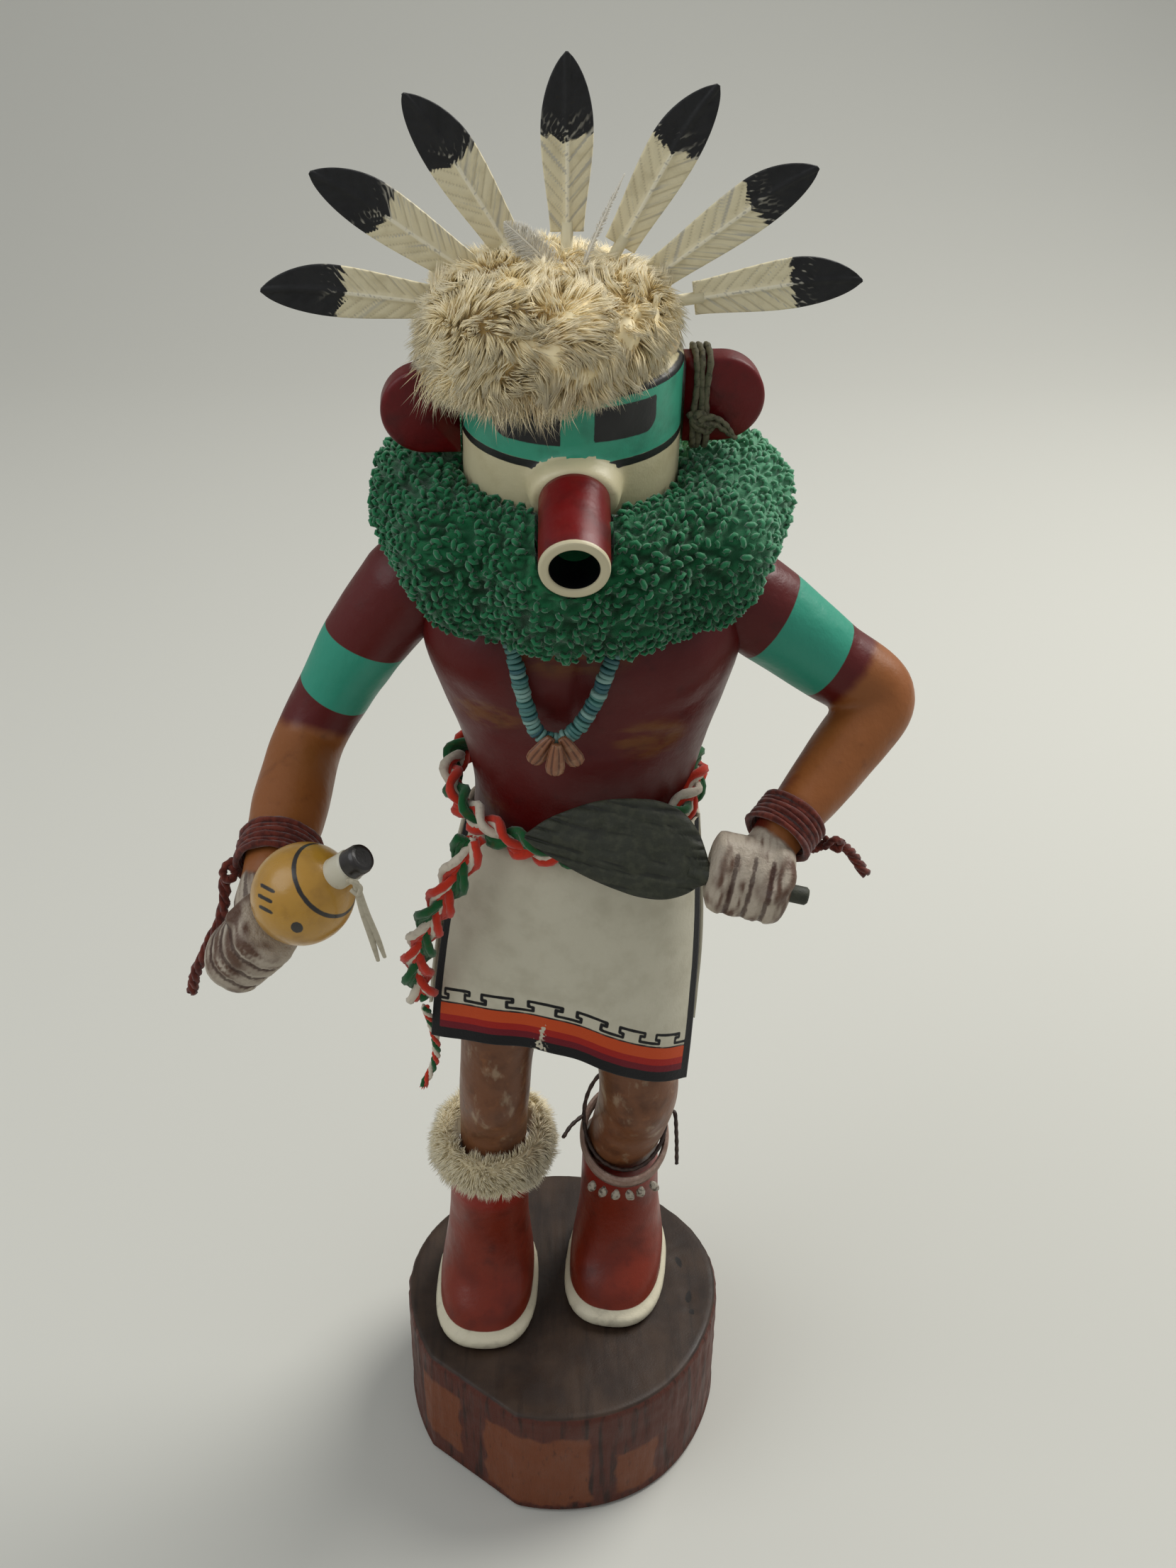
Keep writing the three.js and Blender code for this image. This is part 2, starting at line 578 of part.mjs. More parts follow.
// ---------- kilt: a front and a back panel of leather ----------
const KILT_THICKNESS = 1;
function kiltPanel(top, hem, across, down, grow = 0) {
  const [topCurve, hemCurve] = [new THREE.CatmullRomCurve3(top), new THREE.CatmullRomCurve3(hem)];
  const at = (s, t) => {
    const p = topCurve.getPoint(s).lerp(hemCurve.getPoint(s), t);
    const swell = 1.6 * sin(PI * t);
    const away = v3(p.x - 3, p.y, 0).normalize();
    return p.addScaledVector(away, swell + grow);
  };
  return sheet(at, KILT_THICKNESS + 2 * grow, across, down);
}
const waistPoint = (angle) => v3(5 + 30.8 * cos(deg(angle)), 22.8 * sin(deg(angle)), 230);
function kiltFront(grow = 0) {
  const top = [194, 220, 245, 270, 295, 320, 346].map(waistPoint);
  const hem = [
    v3(-35.5, -18, 167.3), v3(-24.5, -25, 171), v3(-12.5, -28.4, 172.2), v3(-1, -29.6, 170.6),
    v3(10.5, -29, 164.6), v3(23, -26, 157.4), v3(34.4, -18.5, 152),
  ];
  return kiltPanel(top, hem, 14, 5, grow);
}
function kiltBack() {
  const top = [-10, 20, 55, 90, 125, 160, 190].map(waistPoint);
  const hem = [
    v3(36, -12, 168), v3(35, 4, 169), v3(25, 19, 170), v3(2, 25, 170),
    v3(-21, 20, 170), v3(-34, 6, 170), v3(-37, -8, 170),
  ];
  return kiltPanel(top, hem, 14, 5);
}

// ---------- sash: a braid round the waist, its free end down the right hip, and a loose strand ----------
const sashPath = Array.from({ length: 12 }, (_, i) => {
  const angle = (2 * PI * i) / 12;
  const droop = 9 * pow(max(-sin(angle), 0), 1.3);
  return v3(WAIST.x + 31.2 * cos(angle), WAIST.y + 24.4 * sin(angle), WAIST.z - droop);
});
const sashEndPath = [
  v3(-22.6, -22.8, 235.2), v3(-25, -24.4, 228.6), v3(-29.2, -25, 220), v3(-35.2, -23, 206),
  v3(-38, -20.6, 193), v3(-37.4, -18.6, 181),
];
const sashStrandPath = [
  v3(-36.9, -17.6, 176.8), v3(-35.8, -15.6, 170), v3(-34.8, -13.8, 160), v3(-35.6, -13, 152.6),
  v3(-39, -13.6, 144.6),
];
const SASH_END_RADIUS = 3.3;
const SASH_STRAND_RADIUS = 1.2;
function sash(grow = 0) {
  const sizes = sashPath.map(() => [3.3, 4.4]);
  return limb(sashPath, sizes, { sides: 6, steps: 18, across: Z, grow, loop: true });
}

// ---------- rattle and wand ----------
// The rattle is a gourd on a stick that ends in a turned knob; grown, it is the room it needs.
function rattle(grow = 0) {
  const ball = Array.from({ length: 8 }, (_, i) => {
    const a = mix(deg(-78), deg(72), i / 7);
    return [11.2 * cos(a) + grow, 12.2 * sin(a)];
  });
  const profile = [
    [0, RATTLE_FOOT - grow], [STICK_RADIUS + grow, RATTLE_FOOT], [STICK_RADIUS + grow, -12.4],
    ...ball, [0, 12 + grow],
  ];
  const gourd = aim(turned(profile, 16), gourdCentre, gourdCentre.clone().add(rattleAxis));
  const neck = [
    [0, 6], [3.7 + grow, 6], [3.6 + grow, 16.4], [3.3 + grow, 16.8], [3.3 + grow, 20.6],
    [0, 20.8 + grow],
  ];
  return join(gourd, aim(turned(neck, 10), gourdCentre, gourdCentre.clone().add(neckAxis)));
}

// The wand is a thick leaf on a round stick.
function wand() {
  const face = v3(0.1, -0.86, 0.5);
  face.addScaledVector(wandAxis, -face.dot(wandAxis)).normalize();
  const width = wandAxis.clone().cross(face);
  // distance from the tip, half width, half thickness, and rise above the stick's line
  const stations = [
    [0.2, 0.6, 1, 0], [4, 3.6, 1.3, 1.1], [9, 6.2, 1.6, 2.1], [16, 9.2, 1.8, 2.9], [24, 11.1, 1.9, 3.2],
    [30, 11.7, 2, 3.2], [36, 10.6, 2, 2.8], [40.5, 7.6, 2, 2], [43, 4.6, 2, 1.2], [44.6, 2.6, 2, 0.2],
  ];
  const leaf = skin(
    stations.map(([d, w, t, rise]) => {
      const middle = WAND_TIP.clone().addScaledVector(wandAxis, -d).addScaledVector(width, rise);
      return oval(middle, width, face, w, t, 14, 2.6);
    }),
  );
  const stickStart = WAND_TIP.clone().addScaledVector(wandAxis, -40);
  const stick = rod(stickStart, WAND_END, WAND_STICK_RADIUS, 10);
  return join(leaf, stick);
}

// ---------- necklace and pendants ----------
const necklacePath = [
  v3(-1.8, -27.4, 266), v3(-6.2, -27, 268.5), v3(-9, -26.8, 277), v3(-11, -26.3, 287), v3(-14.5, -21, 298),
  v3(-16.5, -6, 304.5), v3(-8, 15.5, 306), v3(12, 15.5, 306), v3(20.5, -6, 304.5), v3(15.5, -20, 298),
  v3(11, -26.3, 287), v3(7.6, -26.8, 277), v3(2.6, -27, 268.5),
];
// A flat tapering shell that hangs from its narrow end.
function pendant(angle) {
  const levels = [[-2.4, 1.1, 0.8], [-4.6, 1.8, 1], [-8.5, 2.3, 1], [-10.5, 1.6, 0.7]];
  return skin(levels.map(([z, w, t]) => oval(v3(0, 0, z), X, Y, w, t, 8))).rotateY(angle);
}

// ---------- down plumes ----------
const PLUMES = [
  [
    [v3(0.6, -9, 366), v3(-3.5, -9.6, 371.5), v3(-8, -9.8, 376), v3(-12.4, -9, 379.6)],
    [[0.5, 0.5], [1.2, 0.6], [2.6, 0.7], [0.8, 0.4]],
  ],
  [
    [v3(2.4, -9, 366), v3(5, -8.6, 373), v3(8.6, -7, 381), v3(12.4, -5, 388.4)],
    [[0.5, 0.5], [0.6, 0.5], [0.8, 0.5], [0.5, 0.4]],
  ],
];

// ---------- fur anklet, knee band and cord ----------
const KNEE_ENDS = [
  [v3(4.4, 4.4, 115.6), v3(2.6, -1.4, 116.8), v3(0.3, -7, 117.7)],
  [v3(31.6, 4.4, 115.6), v3(33.2, 1, 120), v3(34, -1, 113), v3(34.5, -2, 101.6)],
];
function anklet() {
  const [turns, sides] = [18, 8];
  const centre = v3(-20.6, 0.3, 107.5);
  const rings = Array.from({ length: turns }, (_, i) => {
    const angle = (2 * PI * i) / turns;
    const outward = v3(cos(angle), sin(angle), 0);
    const lump = 1 + 0.06 * sin(4 * angle) + 0.04 * cos(7 * angle);
    const middle = centre.clone().add(v3(16.9 * cos(angle), 18.4 * sin(angle), 0));
    return oval(middle, outward, Z, 4 * lump, 9.4, sides, 2.2);
  });
  return skin(rings, true);
}

const onKnee = (geometry, tilt = 30, height = 108) => geometry.rotateX(deg(tilt)).translate(18, 3.6, height);
// A closed band round Z: half sizes of its ring, half thickness and half height.
function band(a, b, thickness, height, turns, z = 0) {
  return skin(
    Array.from({ length: turns }, (_, i) => {
      const angle = (2 * PI * i) / turns;
      const outward = v3(cos(angle), sin(angle), 0);
      return oval(v3(a * cos(angle), b * sin(angle), z), outward, Z, thickness, height, 6, 3);
    }),
    true,
  );
}
const kneeBand = () => onKnee(band(14, 14.4, 0.8, 4.2, 16));
const NUBS = [-33, -20, -6.5, 6.5, 20, 33];
function nub(angle) {
  const [c, s] = [sin(deg(angle)), -cos(deg(angle))];
  const at = (out, z) => v3((16.4 + out) * c, (16.9 + out) * s, z);
  const sizes = [[0.9, 0.9], [1.5, 1.3], [1.1, 1]];
  const path = [at(0, -1.2), at(0.5, -3.4), at(0.7, -5.6)];
  return onKnee(limb(path, sizes, { sides: 5, steps: 2, round: false }));
}
function kneeCord() {
  const end = (points) => limb(points, points.map(() => [0.9, 0.9]), { sides: 5, steps: 4, across: Z });
  return join(onKnee(band(13.8, 16.2, 1, 1, 14), 42, 115.6), ...KNEE_ENDS.map(end));
}

// A cord wound round a wrist: its turns as one band, with a knot and a free end.
const wristTailPath = [
  v3(-79.4, -41.5, 237), v3(-80.4, -44.5, 229), v3(-85, -46, 219.5), v3(-88.4, -46.4, 212),
  v3(-90, -46.4, 206),
];
function wound(centre, axis, radius, ends) {
  const turns = aim(band(radius, radius, 1.5, 5, 14), centre, centre.clone().add(axis));
  const tails = ends.map(([points, sizes]) => limb(points, sizes, { sides: 6, steps: 2 * points.length }));
  return join(turns, ...tails);
}

// ---------- assembly ----------
add(doll, "plinth", plinth(), finish.plinth);

const pegs = FEATHERS.map((f) => inFan(fanned(featherRoom(f), f)));
const EAR_X = MASK_RADIUS + 0.35;
const RIGHT_EAR = { x: -EAR_X, z: 26.6, reach: 17.4 };
const LEFT_EAR = { x: EAR_X, z: 28.2, reach: 18.2 };
add(head, "mask", cut(mask(), ...pegs), finish.turquoise);
add(head, "snout", snout(), finish.darkRed);
add(head, "right_ear", ear(-1, RIGHT_EAR.reach), finish.darkRed).position.set(RIGHT_EAR.x, 0, RIGHT_EAR.z);
add(head, "left_ear", ear(1, LEFT_EAR.reach), finish.darkRed).position.set(LEFT_EAR.x, 0, LEFT_EAR.z);
add(head, "ear_tie", earTie(), finish.thong).position.set(LEFT_EAR.x + 3.6, 0, LEFT_EAR.z);
FEATHERS.forEach((f) => {
  const blade = add(fan, f[0], feather(f), finish.feather);
  blade.rotation.y = deg(f[1]);
  blade.position.z = f[3];
});
const plumes = PLUMES.map(([path, sizes]) => plume(path, sizes));
add(doll, "plume_1", plumes[0], finish.down);
add(doll, "plume_2", plumes[1], finish.down);
const outOfHead = (geometry) => geometry.clone().applyMatrix4(head.matrixWorld.clone().invert());
const plumeRoom = PLUMES.map(([path, sizes]) => {
  const grown = sizes.map(([a, b]) => [a + FIT, b + FIT]);
  return outOfHead(plume(path, grown));
});
add(head, "fur_crown", cut(furCrown(), ...pegs, ...plumeRoom), finish.fur);

const bodyGrown = body(FIT);
const maskGrown = inHead(mask(FIT));
const torsoGrown = stack(torsoLevels, 20, FIT);
const rattleBoreStart = rightFist.clone().addScaledVector(rattleAxis, -20);
const rattleBore = rod(rattleBoreStart, gourdCentre, STICK_RADIUS + 2 * FIT, 8);
const wandBoreStart = WAND_END.clone().addScaledVector(wandAxis, -9);
const wandBore = rod(wandBoreStart, WAND_TIP, WAND_STICK_RADIUS + 2 * FIT, 8);
add(doll, "body", cut(body(), maskGrown), finish.red);
add(doll, "right_arm", cut(rightArm(), torsoGrown, rattleBore), finish.skin, rightArmPath[0]);
add(doll, "left_arm", cut(leftArm(), torsoGrown, wandBore), finish.skin, leftArmPath[0]);
add(doll, "rattle", rattle(), finish.gourd, gourdCentre);
add(doll, "wand", wand(), finish.wand, leftFist);
const shoulderRoom = [
  limb(rightArmPath.slice(0, 3), rightArmSizes.slice(0, 3), { sides: 6, steps: 3, grow: 2 }),
  limb(leftArmPath.slice(0, 3), leftArmSizes.slice(0, 3), { sides: 6, steps: 3, across: Y, grow: 2 }),
];
const neckRoom = stack(torsoLevels.slice(6), 14, 3 * FIT);
const rightWrap = wound(v3(-67, -38.5, 241), v3(-1.2, -11, -3.6), 9.9, []);
const leftTailPath = [
  v3(58, -27, 235), v3(62, -25, 233.8), v3(66.4, -24, 235.4), v3(70.5, -24, 232.6), v3(75.4, -24, 225.6),
];
const leftTailSizes = [[1.3, 1.3], [1.4, 1.4], [2.6, 2.4], [1.7, 1.7], [1.9, 1.9]];
const leftWrap = wound(v3(54, -27, 242), v3(-6.2, -6.6, -4.3), 8.7, [[leftTailPath, leftTailSizes]]);
add(doll, "right_wrist_wrap", rightWrap, finish.twine);
add(doll, "right_wrist_tail", tube(wristTailPath, 1.7, 7), finish.twine);
add(doll, "left_wrist_wrap", leftWrap, finish.twine);
const thongPath = [
  v3(-43.8, -74.2, 259.4), v3(-42.4, -74.6, 252), v3(-40.8, -74.4, 245), v3(-39.6, -74, 238.6),
];
const thongSizes = [[1.6, 0.6], [1.6, 0.6], [1.5, 0.6], [0.8, 0.5]];
const rattleThong = limb(thongPath, thongSizes, { sides: 6, steps: 6 });
add(doll, "rattle_thong", cut(rattleThong, rattle(FIT)), finish.down);

const beadSizes = necklacePath.map(() => [2, 2]);
const beads = limb(necklacePath, beadSizes, { sides: 6, steps: 26, across: Y, loop: true });
add(doll, "necklace", cut(beads, bodyGrown), finish.bead);
const PENDANTS = [["pendant_1", 34, -30.2], ["pendant_2", 3, -32.6], ["pendant_3", -28, -30.2]];
PENDANTS.forEach(([name, angle, y]) => {
  add(doll, name, pendant(deg(angle)), finish.shell).position.set(-1.4, y, 270.6);
});
const snoutRoom = [
  inHead(rod(alongSnout(0), alongSnout(CUFF_REACH + 1), CUFF_HALF_WIDTH + 1, 14)),
  inHead(rod(alongSnout(2), alongSnout(CUFF_REACH + SNOUT_LENGTH + 9), SNOUT_RADIUS + 0.7, 12)),
];
add(doll, "yarn_ruff", cut(ruff(), neckRoom, ...snoutRoom, ...shoulderRoom), finish.yarn);

add(doll, "sash", cut(sash(), bodyGrown), finish.sash);
add(doll, "sash_end", tube(sashEndPath, SASH_END_RADIUS, 8, 10), finish.sash);
add(doll, "sash_strand", tube(sashStrandPath, SASH_STRAND_RADIUS, 10), finish.sash);
add(doll, "kilt_front", cut(kiltFront(), bodyGrown, sash(FIT)), finish.kilt);
add(doll, "kilt_back", cut(kiltBack(), bodyGrown, sash(FIT), kiltFront(FIT)), finish.kilt);

add(doll, "fur_anklet", anklet(), finish.fur);
add(doll, "knee_band", kneeBand(), finish.strap);
add(doll, "knee_cord", kneeCord(), finish.strap);
NUBS.forEach((angle, i) => add(doll, "nub_" + (i + 1), nub(angle), finish.bell));

export default doll;
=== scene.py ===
# A carved and painted kachina doll on a log-slice plinth, dressed in feathers, fur, yarn, leather
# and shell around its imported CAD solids. Sizes in this file are millimetres in the CAD frame
# (+Z up, the figure faces -Y) and become metres when a mesh is made.
# "right" and "left" are the figure's own sides: its right is at -X.
import bpy
import math
import numpy as np
from mathutils import Matrix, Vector
from mathutils.kdtree import KDTree


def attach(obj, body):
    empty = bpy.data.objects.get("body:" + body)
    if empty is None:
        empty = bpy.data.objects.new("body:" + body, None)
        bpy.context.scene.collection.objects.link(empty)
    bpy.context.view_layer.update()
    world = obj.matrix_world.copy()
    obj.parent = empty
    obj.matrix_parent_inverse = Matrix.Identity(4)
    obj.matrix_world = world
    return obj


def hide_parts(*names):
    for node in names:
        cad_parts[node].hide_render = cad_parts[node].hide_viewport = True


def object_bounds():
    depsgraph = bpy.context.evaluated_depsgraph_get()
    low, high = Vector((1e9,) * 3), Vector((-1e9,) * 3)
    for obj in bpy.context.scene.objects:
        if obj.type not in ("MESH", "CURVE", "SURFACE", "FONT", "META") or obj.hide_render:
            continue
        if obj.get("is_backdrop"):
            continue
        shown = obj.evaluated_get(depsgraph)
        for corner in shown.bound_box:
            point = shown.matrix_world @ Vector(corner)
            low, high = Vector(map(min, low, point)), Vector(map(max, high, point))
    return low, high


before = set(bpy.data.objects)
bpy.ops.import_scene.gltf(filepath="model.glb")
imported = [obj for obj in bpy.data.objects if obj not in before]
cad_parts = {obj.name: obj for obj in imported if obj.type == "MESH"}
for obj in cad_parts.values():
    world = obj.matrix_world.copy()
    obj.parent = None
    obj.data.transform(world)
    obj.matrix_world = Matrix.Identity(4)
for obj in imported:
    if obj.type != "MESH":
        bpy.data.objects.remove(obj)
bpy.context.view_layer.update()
rng = np.random.default_rng(11)
MM = 0.001
PI = math.pi
rad = math.radians
vec = lambda *p: np.array(p, float)
X, Y, Z = np.eye(3)


# ---------- geometry helpers ----------
def unit(v):
    v = np.asarray(v, float)
    return v / np.maximum(np.linalg.norm(v, axis=-1, keepdims=True), 1e-9)


def turn(axis, degrees):
    c, s = math.cos(rad(degrees)), math.sin(rad(degrees))
    i, j = {"x": (1, 2), "y": (2, 0), "z": (0, 1)}[axis]
    m = np.eye(3)
    m[i, i] = m[j, j] = c
    m[i, j], m[j, i] = -s, s
    return m


def circle(a):
    """Unit vectors round Z at the angles a."""
    return np.stack([np.cos(a), np.sin(a), 0 * a], 1)


def curve(points, n, closed=False):
    """A centripetal Catmull-Rom curve through rows of points, at n + 1 even steps (n if closed)."""
    p = np.asarray(points, float)
    l = len(p)
    t = np.arange(n) / n if closed else np.linspace(0, 1, n + 1)
    u = t * (l if closed else l - 1)
    i = np.minimum(np.floor(u).astype(int), l - 1 if closed else l - 2)
    w = (u - i)[:, None]
    if closed:
        a, b, c, d = (p[(i + k) % l] for k in (-1, 0, 1, 2))
    else:
        full = np.vstack([2 * p[0] - p[1], p, 2 * p[-1] - p[-2]])
        a, b, c, d = (full[i + k] for k in (0, 1, 2, 3))
    gap = lambda q, r: np.maximum(((q - r) ** 2).sum(1, keepdims=True) ** 0.25, 1e-4)
    d0, d1, d2 = gap(a, b), gap(b, c), gap(c, d)
    m1 = ((b - a) / d0 - (c - a) / (d0 + d1) + (c - b) / d1) * d1
    m2 = ((c - b) / d1 - (d - b) / (d1 + d2) + (d - c) / d2) * d1
    w2, w3 = w * w, w * w * w
    return (2 * w3 - 3 * w2 + 1) * b + (w3 - 2 * w2 + w) * m1 + (3 * w2 - 2 * w3) * c + (w3 - w2) * m2


def spaced(points, step, closed=False):
    """The same line at even steps of about that length."""
    p = np.vstack([points, points[:1]]) if closed else np.asarray(points)
    along = np.concatenate([[0], np.cumsum(np.linalg.norm(np.diff(p, axis=0), axis=1))])
    n = max(int(round(along[-1] / step)), 2)
    t = np.linspace(0, along[-1], n + 1)
    out = np.stack([np.interp(t, along, p[:, k]) for k in range(3)], 1)
    return out[:-1] if closed else out


def frames(path, closed=False, start=Z):
    """Tangent, side and up at each point of a path, turning as little as they can."""
    if closed:
        tangent = unit(np.roll(path, -1, 0) - np.roll(path, 1, 0))
    else:
        tangent = unit(np.gradient(path, axis=0))
    side = np.empty_like(path)
    s = np.cross(tangent[0], start)
    if np.linalg.norm(s) < 0.1:
        s = np.cross(tangent[0], X)
    for k, t in enumerate(tangent):
        s = unit(s - t * (s @ t))
        side[k] = s
    return tangent, side, np.cross(tangent, side)


def grid(rows, cols, wrap_rows=False):
    r = np.arange(rows if wrap_rows else rows - 1)[:, None]
    c = np.arange(cols)[None, :]
    nr, nc = (r + 1) % rows, (c + 1) % cols
    return np.stack([r * cols + c, r * cols + nc, nr * cols + nc, nr * cols + c], -1).reshape(-1, 4)


def facing_out(points, quads, tris):
    volume = 0.0
    for a, b, c in [(0, 1, 2), (0, 2, 3)]:
        if len(quads):
            p, q, r = points[quads[:, a]], points[quads[:, b]], points[quads[:, c]]
            volume += (p * np.cross(q, r)).sum()
    if len(tris):
        p, q, r = points[tris[:, 0]], points[tris[:, 1]], points[tris[:, 2]]
        volume += (p * np.cross(q, r)).sum()
    if volume < 0:
        quads, tris = quads[:, ::-1], tris[:, ::-1]
    return points, quads, tris


NO_QUADS, NO_TRIS = np.zeros((0, 4), int), np.zeros((0, 3), int)


def loft(rings, wrap=False):
    """A closed skin over rings (rows, sides, 3). Open ends get a fan."""
    rows, sides = rings.shape[:2]
    points = rings.reshape(-1, 3)
    quads = grid(rows, sides, wrap)
    tris = NO_TRIS
    if not wrap:
        points = np.vstack([points, rings[0].mean(0), rings[-1].mean(0)])
        i = np.arange(sides)
        j = (i + 1) % sides
        first = np.stack([np.full(sides, rows * sides), j, i], 1)
        last = (rows - 1) * sides
        second = np.stack([np.full(sides, rows * sides + 1), last + i, last + j], 1)
        tris = np.vstack([first, second])
    return facing_out(points, quads, tris)


def ovals(centres, side, up, a, b, sides, power=2.0):
    n = len(centres)
    t = np.linspace(0, 2 * PI, sides, endpoint=False)
    p = 2 / np.broadcast_to(power, (n,))[:, None]
    x = np.broadcast_to(a, (n,))[:, None] * np.sign(np.cos(t)) * np.abs(np.cos(t)) ** p
    y = np.broadcast_to(b, (n,))[:, None] * np.sign(np.sin(t)) * np.abs(np.sin(t)) ** p
    side, up = (np.broadcast_to(v, (n, 3))[:, None] for v in (side, up))
    return centres[:, None] + x[..., None] * side + y[..., None] * up


def stack(levels, sides, rows):
    """Level rings up Z through levels of (z, centre x, centre y, half width, half depth, power)."""
    full = [tuple(l) + (2.0,) * (6 - len(l)) for l in levels]
    s = curve(full, rows)
    s[:, 0] = np.maximum.accumulate(s[:, 0])
    return loft(ovals(s[:, [1, 2, 0]], X, Y, s[:, 3], s[:, 4], sides, s[:, 5]))


def limb(points, sizes, sides=24, steps=60, across=X):
    """A limb along a smooth path, with half sizes (a, b) at each point and round ends."""
    path, size = curve(points, steps), curve(sizes, steps)
    tangent = unit(np.gradient(path, axis=0))
    side = unit(across - tangent * (tangent @ across)[:, None])
    up = np.cross(tangent, side)
    bends = [rad(d) for d in (75, 60, 45, 30, 15)]
    k = len(bends)
    r0, r1 = size[0].min(), size[-1].min()
    front = [path[0] - tangent[0] * r0 * math.sin(b) for b in bends]
    back = [path[-1] + tangent[-1] * r1 * math.sin(b) for b in bends[::-1]]
    path = np.vstack([front, path, back])
    size = np.vstack([[size[0] * math.cos(b) for b in bends], size,
                      [size[-1] * math.cos(b) for b in bends[::-1]]])
    side, up = (np.vstack([[v[0]] * k, v, [v[-1]] * k]) for v in (side, up))
    return loft(ovals(path, side, up, size[:, 0], size[:, 1], sides))


def tube(path, radius, sides=8, closed=False, lobes=0, depth=0.0, twist=0.0, start=Z):
    """A round tube along a path of points; lobes twist along it like the plies of a yarn."""
    path = np.asarray(path, float)
    _, side, up = frames(path, closed, start)
    t = np.linspace(0, 2 * PI, sides, endpoint=False)
    along = np.concatenate([[0], np.cumsum(np.linalg.norm(np.diff(path, axis=0), axis=1))])
    r = np.broadcast_to(radius, (len(path),))[:, None]
    if lobes:
        r = r * (1 + depth * np.cos(lobes * (t[None, :] - along[:, None] * twist)))
    else:
        r = np.repeat(r, sides, 1)
    rings = (path[:, None] + (r * np.cos(t))[..., None] * side[:, None]
             + (r * np.sin(t))[..., None] * up[:, None])
    return loft(rings, closed)


def merge(shapes):
    points, quads, tris, n = [], [], [], 0
    for p, q, t in shapes:
        points.append(p)
        quads.append(q + n)
        tris.append(t + n)
        n += len(p)
    return np.vstack(points), np.vstack(quads), np.vstack(tris)


def moved(shape, matrix=np.eye(3), offset=(0, 0, 0)):
    p, q, t = shape
    return p @ np.asarray(matrix).T + np.asarray(offset, float), q, t


def copies(shape, matrices, offsets):
    """The shape once for each 3x3 matrix and offset, as one shape."""
    p, q, t = shape
    n = len(offsets)
    points = np.einsum("nij,kj->nki", matrices, p) + offsets[:, None]
    shift = (np.arange(n) * len(p))[:, None, None]
    return points.reshape(-1, 3), (q[None] + shift).reshape(-1, 4), (t[None] + shift).reshape(-1, 3)


def basis(z_axis, x_hint):
    """Matrices whose columns are side, up and the z axis."""
    z_axis = unit(z_axis)
    side = unit(x_hint - z_axis * (z_axis * x_hint).sum(-1, keepdims=True))
    return np.stack([side, np.cross(z_axis, side), z_axis], -1)


def turned(profile, sides, rows_per=1):
    """A lathe about +Z from (radius, z) rows that start and end on the axis."""
    p = np.asarray(profile, float)
    if rows_per > 1:
        p = np.vstack([p[:1]] + [p[k] + (p[k + 1] - p[k]) * np.linspace(0, 1, rows_per + 1)[1:, None]
                                 for k in range(len(p) - 1)])
    t = np.linspace(0, 2 * PI, sides, endpoint=False)
    rings = np.stack([p[1:-1, 0, None] * np.cos(t), p[1:-1, 0, None] * np.sin(t),
                      np.repeat(p[1:-1, 1, None], sides, 1)], -1)
    points, quads, tris = loft(rings)
    points[-2, 2], points[-1, 2] = p[0, 1], p[-1, 1]
    return points, quads, tris


def aim(shape, start, towards):
    return moved(shape, basis(np.asarray(towards, float) - start, X), start)


def adjacency(quads, tris):
    edges = [quads[:, [a, b]] for a, b in ((0, 1), (1, 2), (2, 3), (3, 0))]
    edges += [tris[:, [a, b]] for a, b in ((0, 1), (1, 2), (2, 0))]
    e = np.sort(np.vstack(edges), 1)
    return np.unique(e, axis=0)


SMOOTH_STEP, COUNTER_STEP = 0.5, -0.515


def smoothed(shape, rounds):
    """Laplacian smoothing with a counter step, so that the form keeps its size."""
    p, q, t = shape
    e = adjacency(q, t)
    count = np.bincount(e.ravel(), minlength=len(p))[:, None]
    p = p.copy()
    for _ in range(rounds):
        for amount in (SMOOTH_STEP, COUNTER_STEP):
            total = np.stack(
                [np.bincount(e[:, 0], p[e[:, 1], a], len(p)) + np.bincount(e[:, 1], p[e[:, 0], a], len(p))
                 for a in range(3)], 1
            )
            p += amount * (total / np.maximum(count, 1) - p)
    return p, q, t


def data_of(mesh):
    p = np.empty(len(mesh.vertices) * 3, np.float32)
    mesh.vertices.foreach_get("co", p)
    loops = np.empty(len(mesh.loops), np.int32)
    mesh.loops.foreach_get("vertex_index", loops)
    starts = np.empty(len(mesh.polygons), np.int32)
    totals = np.empty(len(mesh.polygons), np.int32)
    mesh.polygons.foreach_get("loop_start", starts)
    mesh.polygons.foreach_get("loop_total", totals)
    four, three = totals == 4, totals == 3
    quads = loops[starts[four][:, None] + np.arange(4)]
    tris = loops[starts[three][:, None] + np.arange(3)]
    return p.reshape(-1, 3).astype(float) / MM, quads.astype(int), tris.astype(int)


def mesh_of(name, shape):
    p, q, t = shape
    mesh = bpy.data.meshes.new(name)
    mesh.vertices.add(len(p))
    mesh.vertices.foreach_set("co", (p * MM).astype(np.float32).ravel())
    loops = np.concatenate([q.ravel(), t.ravel()]).astype(np.int32)
    starts = np.concatenate([np.arange(len(q)) * 4, len(q) * 4 + np.arange(len(t)) * 3]).astype(np.int32)
    mesh.loops.add(len(loops))
    mesh.loops.foreach_set("vertex_index", loops)
    mesh.polygons.add(len(starts))
    mesh.polygons.foreach_set("loop_start", starts)
    mesh.update(calc_edges=True)
    mesh.validate()
    return mesh


